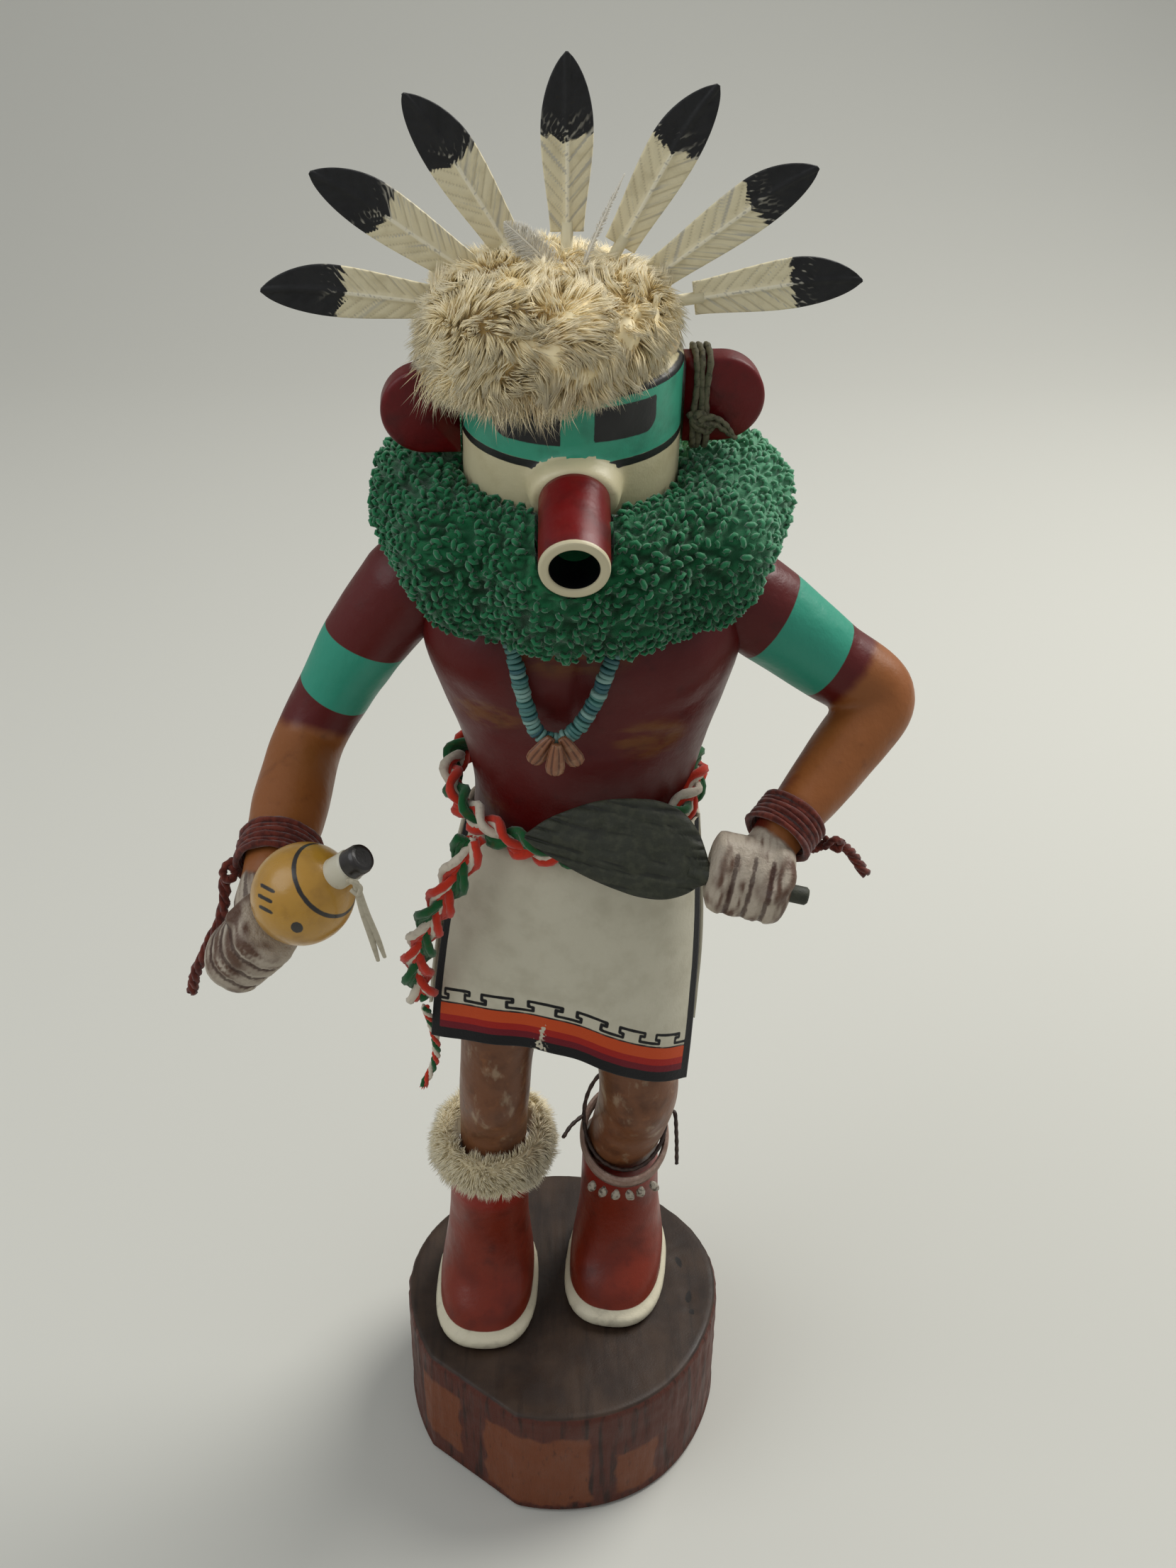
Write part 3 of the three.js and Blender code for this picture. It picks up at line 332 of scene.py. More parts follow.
def unite(shapes, voxel, rounds=3):
    """The outside of several overlapping closed shapes as one even skin."""
    mesh = mesh_of("unite", merge(shapes))
    o = bpy.data.objects.new("unite", mesh)
    bpy.context.scene.collection.objects.link(o)
    m = o.modifiers.new("v", "REMESH")
    m.mode = "VOXEL"
    m.voxel_size = voxel * MM
    m.adaptivity = 0.0
    dg = bpy.context.evaluated_depsgraph_get()
    made = data_of(o.evaluated_get(dg).to_mesh())
    bpy.data.objects.remove(o)
    bpy.data.meshes.remove(mesh)
    return smoothed(made, rounds)


def normals_of(shape):
    p, q, t = shape
    n = np.zeros_like(p)
    faces = [(q[:, 0], q[:, 1], q[:, 2]), (q[:, 0], q[:, 2], q[:, 3]), (t[:, 0], t[:, 1], t[:, 2])]
    for a, b, c in faces:
        f = np.cross(p[b] - p[a], p[c] - p[a])
        for k in (a, b, c):
            for axis in range(3):
                n[:, axis] += np.bincount(k, f[:, axis], len(p))
    return unit(n)


LATTICE = rng.random((32, 32, 32))


def noise(p, size):
    """Smooth value noise from 0 to 1 at points in millimetres, with lumps of about that size."""
    u = np.asarray(p, float) / size
    i = np.floor(u).astype(int)
    w = u - i
    w = w * w * (3 - 2 * w)
    total = 0
    for dx in (0, 1):
        for dy in (0, 1):
            for dz in (0, 1):
                f = np.abs(1 - dx - w[:, 0]) * np.abs(1 - dy - w[:, 1]) * np.abs(1 - dz - w[:, 2])
                total = total + f * LATTICE[(i[:, 0] + dx) % 32, (i[:, 1] + dy) % 32, (i[:, 2] + dz) % 32]
    return total


def step(edge0, edge1, x):
    t = np.clip((x - edge0) / (edge1 - edge0), 0, 1)
    return t * t * (3 - 2 * t)


def piece(name, shape, material, slot, *nodes, paint=None, flat=False):
    """A finished piece that rides on the figure, stands for its CAD nodes and carries its paint masks."""
    mesh = mesh_of(name, shape)
    if not flat:
        mesh.shade_smooth()
    mesh.materials.append(material)
    for key, values in (paint or {}).items():
        layer = mesh.attributes.new(key, "FLOAT", "POINT")
        layer.data.foreach_set("value", np.asarray(values, np.float32))
    o = bpy.data.objects.new(name, mesh)
    bpy.context.scene.collection.objects.link(o)
    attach(o, "root")
    if nodes:
        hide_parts(*nodes)
    return o


# ---------- materials ----------
def colour(code):
    c = [int(code[k : k + 2], 16) / 255 for k in (0, 2, 4)]
    return [x / 12.92 if x <= 0.04045 else ((x + 0.055) / 1.055) ** 2.4 for x in c] + [1.0]


NOISE_ROUGHNESS = 0.55


class Paint:
    """A node material built up in layers. Sizes are millimetres."""

    def __init__(self, name, base, roughness=0.5):
        self.material = bpy.data.materials.new(name)
        self.material.use_nodes = True
        self.tree = self.material.node_tree
        self.shader = self.tree.nodes["Principled BSDF"]
        self.set("Roughness", roughness)
        self.where = self.tree.nodes.new("ShaderNodeTexCoord").outputs["Object"]
        self.colour = colour(base)
        self.heights = []
        self.rough = None

    def set(self, name, value):
        self.shader.inputs[name].default_value = value

    def node(self, kind, **settings):
        n = self.tree.nodes.new(kind)
        for key, value in settings.items():
            setattr(n, key, value)
        return n

    def put(self, socket, value):
        if isinstance(value, bpy.types.NodeSocket):
            self.tree.links.new(value, socket)
        else:
            socket.default_value = value

    def maths(self, op, a, b=0.0, c=0.0):
        n = self.node("ShaderNodeMath", operation=op)
        for k, v in enumerate((a, b, c)):
            self.put(n.inputs[k], v)
        return n.outputs[0]

    def times(self, a, b):
        return self.maths("MULTIPLY", a, b)

    def attribute(self, name):
        return self.node("ShaderNodeAttribute", attribute_name=name).outputs["Fac"]

    def noise(self, size, detail=3.0, stretch=(1, 1, 1)):
        where = self.where
        if stretch != (1, 1, 1):
            m = self.node("ShaderNodeMapping")
            self.put(m.inputs["Vector"], where)
            m.inputs["Scale"].default_value = stretch
            where = m.outputs[0]
        n = self.node("ShaderNodeTexNoise")
        self.put(n.inputs["Vector"], where)
        n.inputs["Scale"].default_value = 1 / (size * MM)
        n.inputs["Detail"].default_value = detail
        n.inputs["Roughness"].default_value = NOISE_ROUGHNESS
        return n.outputs["Fac"]

    def range(self, value, low, high, to_low=0.0, to_high=1.0):
        n = self.node("ShaderNodeMapRange", clamp=True, interpolation_type="SMOOTHSTEP")
        for key, v in (("Value", value), ("From Min", low), ("From Max", high), ("To Min", to_low),
                       ("To Max", to_high)):
            self.put(n.inputs[key], v)
        return n.outputs[0]

    def by(self, name, low, high, to_low=0.0, to_high=1.0):
        return self.range(self.attribute(name), low, high, to_low, to_high)

    def over(self, code, mask):
        """Lays a colour over what is there, through a mask."""
        n = self.node("ShaderNodeMix", data_type="RGBA")
        self.put(n.inputs[0], mask)
        self.put(n.inputs[6], self.colour)
        self.put(n.inputs[7], colour(code) if isinstance(code, str) else code)
        self.colour = n.outputs[2]
        return self

    def vary(self, code, size, low=0.4, high=0.65, amount=1.0, **more):
        mask = self.range(self.noise(size, **more), low, high, 0.0, amount)
        return self.over(code, mask)

    def layer(self, code, name, soft=0.15, wander=0.0, size=3.0):
        """A painted area where the attribute is above zero, with an edge that may wander a little."""
        value = self.attribute(name)
        if wander:
            shift = self.maths("MULTIPLY_ADD", self.noise(size), 2 * wander, -wander)
            value = self.maths("ADD", value, shift)
        mask = self.range(value, -soft, soft)
        self.over(code, mask)
        return mask

    def bump(self, height, distance):
        self.heights.append((height, distance))
        return self

    def pitted(self, size, detail, depth):
        return self.bump(self.noise(size, detail), depth)

    def done(self, rough_noise=None):
        self.put(self.shader.inputs["Base Color"], self.colour)
        normal = None
        for height, distance in self.heights:
            b = self.node("ShaderNodeBump")
            b.inputs["Strength"].default_value = 1.0
            b.inputs["Distance"].default_value = distance * MM
            self.put(b.inputs["Height"], height)
            if normal is not None:
                self.put(b.inputs["Normal"], normal)
            normal = b.outputs[0]
        if normal is not None:
            self.put(self.shader.inputs["Normal"], normal)
        if rough_noise:
            low, high, size = rough_noise
            self.put(self.shader.inputs["Roughness"], self.range(self.noise(size), 0.3, 0.7, low, high))
        return self.material


# ---------- camera ----------
CAMERA_AT = (0.0, -0.353, 0.464)
pitch, yaw, roll = rad(32.8), rad(1.0415), rad(0.6735)
look = vec(math.sin(yaw) * math.cos(pitch), math.cos(yaw) * math.cos(pitch), -math.sin(pitch))
level = unit(np.cross(look, Z))
upright = np.cross(level, look)
cam_right = math.cos(roll) * level + math.sin(roll) * upright
cam_up = -math.sin(roll) * level + math.cos(roll) * upright
cam_data = bpy.data.cameras.new("camera")
cam_data.sensor_width = 36
cam_data.lens = 37.43
cam_data.clip_start = 0.01
camera = bpy.data.objects.new("camera", cam_data)
bpy.context.scene.collection.objects.link(camera)
placing = np.eye(4)
placing[:3, :3] = np.stack([cam_right, cam_up, -look], 1)
placing[:3, 3] = CAMERA_AT
camera.matrix_world = Matrix(placing.tolist())
bpy.context.scene.camera = camera

# ---------- frames of the head and the feather fan ----------
HEAD = turn("z", 4) @ turn("x", 5)
HEAD_AT = vec(1.5, 0, 312)
FAN = turn("x", -7)
FAN_AT = vec(-0.8, 4, 40)
in_head = lambda p: np.asarray(p) @ HEAD.T + HEAD_AT
head_shape = lambda s: (in_head(s[0]), s[1], s[2])

# ---------- yarn and cord: the free cords come first ----------
YARN_RED, YARN_WHITE, YARN_GREEN = "c2321c", "d2c8b6", "14572c"
YARN_ROUGHNESS = 0.9
BRAID_SIDES, BRAID_STEP = 8, 1.1


def yarn_material(name, base, other):
    p = Paint(name, base, YARN_ROUGHNESS)
    p.vary(other, 1.5, 0.35, 0.65)
    p.set("Sheen Weight", 0.3)
    p.set("Specular IOR Level", 0.2)
    p.pitted(0.3, 4.0, 0.1)
    return p.done()


def braid_material():
    p = Paint("braid_yarn", YARN_RED, YARN_ROUGHNESS)
    p.layer(YARN_WHITE, "white", 0.05)
    p.layer(YARN_GREEN, "green", 0.05)
    p.vary("6a2a18", 2.0, 0.5, 0.8, 0.35)
    p.set("Sheen Weight", 0.3)
    p.set("Specular IOR Level", 0.2)
    p.pitted(0.3, 4.0, 0.12)
    return p.done()


def braid(path, width, depth, pitch, yarn, closed=False, start=Z):
    """Three strands of three yarns each, plaited along a path, with the colour of each yarn."""
    line = spaced(path, BRAID_STEP, closed)
    _, side, up = frames(line, closed, start)
    along = np.arange(len(line)) * BRAID_STEP
    total = along[-1] + (BRAID_STEP if closed else 0)
    turns = max(round(total / pitch), 1) if closed else total / pitch
    shapes, white, green = [], [], []
    for strand in range(3):
        phase = 2 * PI * (turns * along / total + strand / 3)
        middle = line + (width * np.sin(phase))[:, None] * side + (depth * np.sin(2 * phase))[:, None] * up
        for ply in range(3):
            lean = 0.9 * np.cos(phase)
            place = (ply - 1) * 1.25 * yarn
            offset = place * (np.cos(lean)[:, None] * side + np.sin(lean)[:, None] * up)
            s = tube(middle + offset, yarn, BRAID_SIDES, closed, 2, 0.14, 1.6, start)
            shapes.append(s)
            tint = [("red", "white", "red"), ("white", "red", "red"),
                    ("green", "green", "green")][strand][ply]
            white.append(np.full(len(s[0]), 1.0 if tint == "white" else -1.0))
            green.append(np.full(len(s[0]), 1.0 if tint == "green" else -1.0))
    return merge(shapes), {"white": np.concatenate(white), "green": np.concatenate(green)}


BRAID = braid_material()
SASH_END = np.array([[-22.6, -22.8, 235.2], [-25, -24.4, 228.6], [-29.2, -25, 220], [-35.2, -23, 206],
                     [-38, -20.6, 193],
                     [-37.4, -18.6, 181]])
SASH_STRAND = np.array([[-36.9, -17.6, 176.8], [-35.8, -15.6, 170], [-34.8, -13.8, 160],
                        [-35.6, -13, 152.6], [-39, -13.6, 144.6]])
WRIST_TAIL = np.array([[-79.4, -41.5, 237], [-80.4, -44.5, 229], [-85, -46, 219.5], [-88.4, -46.4, 212],
                       [-90, -46.4, 206]])


sash_line = curve(SASH_END, 40)
shape, tints = braid(sash_line, 2.1, 1.0, 25.0, 1.1, start=Y)
sash_end = piece("sash_end_braid", shape, BRAID, "yarn_sash", "sash_end", paint=tints)
strand_line = curve(SASH_STRAND, 60)
spin = np.arange(61) * 0.42
plies, white, green = [], [], []
for k, (is_white, is_green) in enumerate([(-1, -1), (1, -1), (-1, 1)]):
    around = circle(spin + 2.1 * k)
    ply = tube(strand_line + 0.62 * around, 0.62, 8, lobes=2, depth=0.15, twist=1.8)
    plies.append(ply)
    white.append(np.full(len(ply[0]), is_white))
    green.append(np.full(len(ply[0]), is_green))
for k in range(9):
    flare = vec(0.35 * math.cos(k * 2.4), 0.35 * math.sin(k * 2.4), -0.2)
    wisp = strand_line[-4:] + flare * np.linspace(0.3, 3.2, 4)[:, None]
    ply = tube(wisp, [0.32, 0.3, 0.24, 0.1], 6)
    plies.append(ply)
    white.append(np.full(len(ply[0]), -1))
    green.append(np.full(len(ply[0]), -1))
sash_strand = piece("sash_loose_strand", merge(plies), BRAID, "yarn_sash", "sash_strand",
                    paint={"white": np.concatenate(white), "green": np.concatenate(green)})
tail_line = curve(WRIST_TAIL, 30)
TWINE = yarn_material("red_brown_yarn", "4a1a12", "6b2c1f")
tail_spin = np.arange(31) * 0.75
wrist_tail = piece("right_wrist_tail_yarn", merge([
    tube(tail_line + 0.62 * circle(tail_spin + k * 2.1), 0.85, 8, lobes=2, depth=0.2, twist=2.0)
    for k in range(3)]), TWINE, "yarn_brown", "right_wrist_tail")

# ---------- stage: floor and soft light ----------
floor_paint = Paint("floor", "c4c4bd", 0.95)
floor_paint.shader.inputs["Specular IOR Level"].default_value = 0.1
floor_mesh = bpy.data.meshes.new("floor")
rows = ([(-1.6, 0.0), (1.0, 0.0)] + [(1.0 + 0.9 * math.sin(a), 0.9 * (1 - math.cos(a)))
                                     for a in np.linspace(0.1, 1.3, 12)] + [(2.1, 2.6)])
floor_mesh.from_pydata([(x, y, z) for y, z in rows for x in (-2.4, 2.4)], [],
                       [(2 * k, 2 * k + 1, 2 * k + 3, 2 * k + 2) for k in range(len(rows) - 1)])
floor_mesh.shade_smooth()
floor_mesh.materials.append(floor_paint.done())
floor = bpy.data.objects.new("floor", floor_mesh)
bpy.context.scene.collection.objects.link(floor)
floor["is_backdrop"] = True

world = bpy.data.worlds.new("studio")
bpy.context.scene.world = world
world.use_nodes = True
world.node_tree.nodes["Background"].inputs[0].default_value = (0.98, 0.99, 1.0, 1)
world.node_tree.nodes["Background"].inputs[1].default_value = 0.42
bpy.context.scene.view_settings.view_transform = "Standard"


def lamp(name, at, towards, size, power, tint=(1, 1, 1)):
    data = bpy.data.lights.new(name, "AREA")
    data.shape = "DISK"
    data.size = size
    data.energy = power
    data.color = tint
    o = bpy.data.objects.new(name, data)
    m = np.eye(4)
    m[:3, :3] = basis(unit(vec(*at) - vec(*towards)), X + 0.01 * Y)
    m[:3, 3] = at
    o.matrix_world = Matrix(m.tolist())
    bpy.context.scene.collection.objects.link(o)


lamp("key", (0.75, 0.55, 1.15), (0, 0, 0.2), 0.9, 17, (1.0, 0.98, 0.94))
lamp("fill", (-0.8, -0.3, 1.0), (0, 0, 0.2), 1.0, 4, (0.95, 0.98, 1.0))

# ---------- plinth: a slice of log, hewn flat on its right front ----------
PLINTH_RADIUS, PLINTH_HEIGHT = 50.0, 44.0


def plinth():
    sides = 260
    angle = np.linspace(0, 2 * PI, sides, endpoint=False)
    flat = (PLINTH_RADIUS - 3.2) / np.maximum(np.cos(angle - rad(232)), 0.2)
    reach = np.minimum(PLINTH_RADIUS + 0.6 * np.sin(3 * angle + 0.4) + 0.4 * np.sin(5 * angle), flat)
    side_z = np.concatenate([[0.0, 0.3, 0.8, 1.4], np.linspace(2.4, 40.4, 30),
                             [41.2, 41.9, 42.5, 43.0, 43.45, 43.8, 43.95]])
    inset = (np.where(side_z < 1.4, (1.4 - side_z) * 0.7, 0)
             + 2.6 * (1 - np.sqrt(np.clip(1 - (np.maximum(side_z - 41, 0) / 3) ** 2, 0, 1))))
    rings = [np.stack([(reach - d) * np.cos(angle), (reach - d) * np.sin(angle), np.full(sides, z)], 1)
             for z, d in zip(side_z, inset)]
    for k in np.linspace(0.985, 0.02, 24):
        rings.append(np.stack([(reach - 2.6) * k * np.cos(angle), (reach - 2.6) * k * np.sin(angle),
                               np.full(sides, PLINTH_HEIGHT)], 1))
    points, quads, tris = loft(np.array(rings))
    r = np.hypot(points[:, 0], points[:, 1])
    a = np.arctan2(points[:, 1], points[:, 0])
    side = step(1.0, 3.0, points[:, 2]) * step(44.0, 42.5, points[:, 2])
    out = points / np.maximum(r, 1)[:, None] * [1, 1, 0]
    grain = (noise(np.stack([a * 46, points[:, 2] * 0.1, 0 * a], 1), 1.7)
             + 0.6 * noise(np.stack([a * 46, points[:, 2] * 0.2, 0 * a + 9], 1), 0.8))
    points = points - out * (side * (0.55 * grain))[:, None]
    top = step(43.7, 43.99, points[:, 2]) * (r < 46)
    crack_line = np.abs((points[:, 0] - 38.5) + 0.12 * (points[:, 1] - 6) - 1.2 * noise(points, 6.0))
    crack = step(0.9, 0.1, crack_line) * step(-20, -8, points[:, 1]) * step(22, 10, points[:, 1])
    points[:, 2] -= top * (0.35 * crack + 0.12 * noise(points * [1, 0.15, 1], 0.9))
    return (points, quads, tris), a, side, crack, top


shape, a, side, crack, top = plinth()
p = shape[0]


def hew(at, half, low, high):
    """Positive inside a hewn flat: a ragged patch of the plinth's side round the angle at."""
    inside = np.minimum.reduce([half - np.abs(np.degrees(a) - at), p[:, 2] - low, high - p[:, 2]])
    return inside + 3.0 * (noise(p, 5.0) - 0.5)


m = Paint("log_slice", "271b14", 0.55)
m.vary("3a2b20", 14.0, 0.3, 0.7, 1.0)
m.vary("1d130d", 3.0, 0.45, 0.75, 0.7, stretch=(1, 0.12, 1))
side_mask = m.layer("4f2216", "side", 0.4)
p2 = m.noise(2.2, 4.0, stretch=(1, 1, 0.1))
m.over("2c130b", m.times(m.range(p2, 0.45, 0.7), side_mask))
m.layer("6f3a1e", "hewn", 0.9, 1.0, 3.0)
chips = m.times(m.range(m.noise(1.4, 5.0, stretch=(1, 1, 0.35)), 0.56, 0.8, 0, 0.7), m.by("hewn", 0, 1))
m.over("331508", chips)
m.layer("120b08", "crack", 0.1)
m.bump(m.times(m.noise(1.1, 5.0, stretch=(1, 1, 0.12)), side_mask), 0.35).pitted(0.6, 3.0, 0.05)
m.set("Specular IOR Level", 0.3)
m.set("Coat Weight", 0.1)
m.set("Coat Roughness", 0.4)
hewn = np.maximum.reduce([hew(-100, 20, 3, 34), hew(-143, 10, 8, 33), hew(-62, 9, 3, 24) - 0.6])
piece("log_plinth", shape, m.done((0.45, 0.65, 8.0)), "plinth", "plinth",
      paint={"side": (43.2 - p[:, 2]) , "hewn": np.where(side > 0.5, hewn, -3),
             "crack": np.where(top > 0.5, crack - 0.5, -1)})

# ---------- body: torso, legs and boots, carved in one ----------
H = PLINTH_HEIGHT
TORSO = [
    (184, 2, 0, 24, 16), (195, 2.5, 0, 28.5, 20), (212, 3.5, 0, 30, 21.5), (228, 5, 0, 28.5, 20.5),
    (240, 5.3, 0, 28, 19.5), (255, 5.3, 0, 31, 21, 2.2), (268, 5, 0, 35, 22.5, 2.4),
    (282, 4.6, 0, 38.5, 23, 2.6),
    (291, 4.2, 0.5, 37.5, 21, 2.5), (298, 3.6, 1, 28, 17), (303, 2.8, 1, 15, 13), (306, 2.4, 1, 12, 12),
    (311.2, 1.8, 0.5, 11.5, 11.5),
]
RIGHT_LEG = [(104, -21, 0, 9.8, 10.6), (120, -20.2, -2.5, 9.8, 10.8), (136, -19.5, -4.5, 10.2, 11.2),
             (150, -18.5, -4, 10.4, 11.4),
             (172, -15.5, -2, 12.5, 14), (200, -11, 0, 14.5, 16)]
LEFT_LEG = [(104, 17.5, 5, 10.6, 11), (118, 20, 0, 11, 11.8), (134, 22, -4, 11.4, 12.2),
            (150, 21, -4, 11.6, 12.4),
            (172, 19, -2, 12.8, 14), (200, 16, 0, 14, 16)]
BOOT = [
    (H + 0.3, 0, 0, 15, 23.8, 2.6), (H + 1.5, 0, 0, 16, 25, 2.6), (H + 4.2, 0, 0, 16, 25, 2.6),
    (H + 5, 0, 0.2, 14.8, 23.6, 2.5),
    (H + 11, 0, 1.4, 14.6, 21.6, 2.4), (H + 19, 0, 4.2, 13.6, 17, 2.2), (H + 31, 0, 3.6, 12.4, 13.6),
    (H + 47, 0, 0.6, 11.8, 12.2), (H + 62, 0, -1.5, 11.4, 11.6),
]


def boot(x, y, degrees, lean):
    rows = []
    for z, cx, cy, a, b, *power in BOOT:
        rise = ((z - H) / 62) ** 1.5
        rows.append((z, cx + lean * rise, cy, a, b, *power))
    return moved(stack(rows, 72, 90), turn("z", degrees), (x, y, 0))


RIGHT_BOOT, LEFT_BOOT = (-23.8, 0, -2, 2.5), (17.4, 8, -7, 0.5)
body = unite([stack(TORSO, 96, 150), stack(RIGHT_LEG, 60, 80), stack(LEFT_LEG, 60, 80), boot(*RIGHT_BOOT),
              boot(*LEFT_BOOT)], 1.18, 2)
p, q, t = body
n = normals_of(body)


def near(centre, radii):
    """1 at the centre of an ellipsoid and 0 at its surface and beyond, smoothly."""
    d = (((p - vec(*centre)) / vec(*radii)) ** 2).sum(1)
    return step(1.0, 0.0, d)


# carved form: breastbone, chest, ribs, belly and the knees' caps
swell = (1.3 * near((-13, -22, 281), (17, 16, 13)) + 1.3 * near((23, -22, 281), (17, 16, 13))
         - 0.9 * near((5, -23, 276), (3.6, 12, 24)))
swell += (-0.7 * near((5, -22, 262), (30, 14, 5)) + 0.7 * near((5, -20, 250), (18, 12, 12))
          - 0.9 * near((5, 22, 262), (4, 12, 36)))
swell += 1.0 * near((-19.5, -15, 134), (8, 10, 8)) + 1.0 * near((22, -15, 132), (8, 10, 8))
swell += -0.5 * near((-19.8, -13, 122), (9, 8, 3.4)) - 0.5 * near((21, -12, 120), (9, 8, 3.4))
p = p + n * swell[:, None]
body = (p, q, t)


def boot_space(x, y, degrees):
    """Points about a boot's own sole middle."""
    return (p - vec(x, y, 0)) @ turn("z", degrees)


leather = np.minimum(104.5 - p[:, 2], 1000)
welt = np.full(len(p), -9.0)
for place, inner in ((RIGHT_BOOT, 1), (LEFT_BOOT, -1)):
    b = boot_space(*place[:3])
    here = np.abs(b[:, 0]) < 19
    top_of_welt = 6.4 + 0.6 * step(-14, 10, b[:, 1])
    edge = top_of_welt - (b[:, 2] - H)
    seam = 0.55 - np.hypot((b[:, 1] - (9.0 + 0.05 * (b[:, 2] - H))) * 0.8, 0) + 0 * edge
    side_seam = np.where((np.abs(b[:, 0]) > 9) & (b[:, 2] < H + 55), seam, -9)
    welt = np.where(here & (b[:, 2] < H + 61), np.maximum(edge, side_seam), welt)
m = Paint("painted_body", "4a1d12", 0.42)
m.over("560c0a", m.by("height", 200, 201))
m.over("70452a", m.times(m.by("height", 103, 105), m.by("height", 201, 200)))
legs = m.times(m.by("height", 104, 106), m.by("height", 176, 172))
m.over("4a2812", m.times(legs, m.range(m.noise(7.0, 3.0), 0.42, 0.75, 0, 0.75)))
m.over("8e5a34", m.times(legs, m.range(m.noise(4.0, 3.0), 0.55, 0.8, 0, 0.6)))
m.over("b3a185", m.times(legs, m.range(m.noise(4.2, 4.0, stretch=(1, 1, 0.5)), 0.57, 0.72, 0, 0.42)))
smear = m.times(m.by("ochre", 0.0, 1.0), m.range(m.noise(3.2, 4.0, stretch=(0.35, 1, 1.3)), 0.3, 0.62))
m.over("6b3a12", smear)
m.layer("742410", "boot", 0.5)
m.over("5a190b", m.times(m.by("boot", -0.5, 0.5), m.range(m.noise(10.0, 2.0), 0.42, 0.75, 0, 0.7)))
m.over("861a08", m.times(m.by("boot", 0.5, 1.5), m.by("boot", 16.0, 9.0)))
m.layer("cfc8b0", "welt", 0.18, 0.12, 4.0)
m.vary("2a0605", 6.0, 0.55, 0.85, 0.45)
m.pitted(3.5, 3.0, 0.22).pitted(0.5, 2.0, 0.03)
m.set("Specular IOR Level", 0.3)
m.set("Coat Weight", 0.1)
m.set("Coat Roughness", 0.3)
ochre = np.maximum.reduce([near((2.5, -22, 291), (20, 16, 13)), 0.75 * near((-19, -20, 268), (13, 14, 5)),
                           0.85 * near((22, -24, 262), (13, 14, 8)),
                           0.7 * near((-22, -20, 238), (11, 16, 5))])
piece("carved_body", body, m.done((0.34, 0.52, 9.0)), "body", "body",
      paint={"height": p[:, 2], "ochre": 1.6 * ochre, "boot": leather, "welt": welt})

# ---------- arms and fists ----------
ARM_R = [(-37, 1, 293), (-47.5, 1, 279), (-56.5, 1, 264), (-63.5, -4, 252), (-66, -23, 245.5),
         (-67.5, -44, 239.5), (-69.4, -51, 236)]
ARM_R_SIZE = [(11.5, 11.5), (10.6, 10.4), (9.3, 9.4), (8.8, 8.8), (9.2, 9), (7.1, 7.1), (6.4, 6)]
ARM_L = [(43, 1, 290), (51, 1, 284), (65, 1, 273), (78, -1, 263), (69, -11, 253), (52.5, -28.5, 240.8),
         (48.4, -33, 237.6)]
ARM_L_SIZE = [(12, 12), (11.8, 11.6), (10.4, 10.4), (9.6, 9.4), (8.7, 8.5), (6.3, 6.3), (6, 5.6)]
FIST_R, FIST_L = vec(-71, -59, 232), vec(44.6, -37.2, 234)
RATTLE_AXIS = unit(vec(0.61, -0.24, 0.75))
NECK_AXIS = unit(vec(0.7, -0.26, 0.66))
WAND_TIP, WAND_END = vec(-9.3, -34, 243.6), vec(58.5, -41, 231)
WAND_AXIS = unit(WAND_TIP - WAND_END)
GOURD_AT = FIST_R + 22.9 * RATTLE_AXIS


def fist(centre, stick, reach):
    """A carved fist: a block with grooves between four fingers and creases at their joints, and a thumb."""
    along = unit(stick)
    out = unit(reach - (reach @ along) * along)
    over = np.cross(along, out)
    outline = curve([(-9.5, 2.2), (-6, 6.6), (0, 8), (6, 7.4), (9.8, 3.6), (10.4, -1.6), (8, -6),
                     (2.6, -7.6), (-2.6, -6.8), (-7, -4)], 80, True)
    stations = np.concatenate([[-10.2, -10, -9.6, -9], np.linspace(-8.6, 8.6, 70), [9, 9.6, 10, 10.2]])
    rings = []
    for a in stations:
        gap = min(abs(a - g) for g in (-4.4, 0, 4.4))
        groove = 1 - 0.2 * math.exp(-((gap / 0.62) ** 2)) - 0.03 * (gap / 2.2) ** 2
        end = 1 - 0.36 * max((abs(a) - 8.4) / 1.8, 0) ** 2
        o, v = outline[:, 0], outline[:, 1]
        finger = np.clip(np.maximum(step(1.5, 4.5, o), step(-2.5, -4.5, v)), 0, 1)
        crease = (1 - 0.05 * np.exp(-(((o - 6.6) / 0.5) ** 2)) * (v > 0)
                  - 0.06 * np.exp(-(((v + 1.0) / 0.5) ** 2)) * (o > 0))
        scale = (1 + (groove - 1) * finger) * end * crease
        rings.append(centre + a * along + (o * scale)[:, None] * out + (v * scale)[:, None] * over)
    spot = lambda a, o, v: centre + a * along + o * out + v * over
    thumb = limb([spot(6.5, -7, -1), spot(8, -3, -5), spot(5.5, 1, -7.6)],
                 [(2.5, 2.8), (2.4, 2.5), (2, 2)], 20, 20, along)
    return [loft(np.array(rings)), thumb]


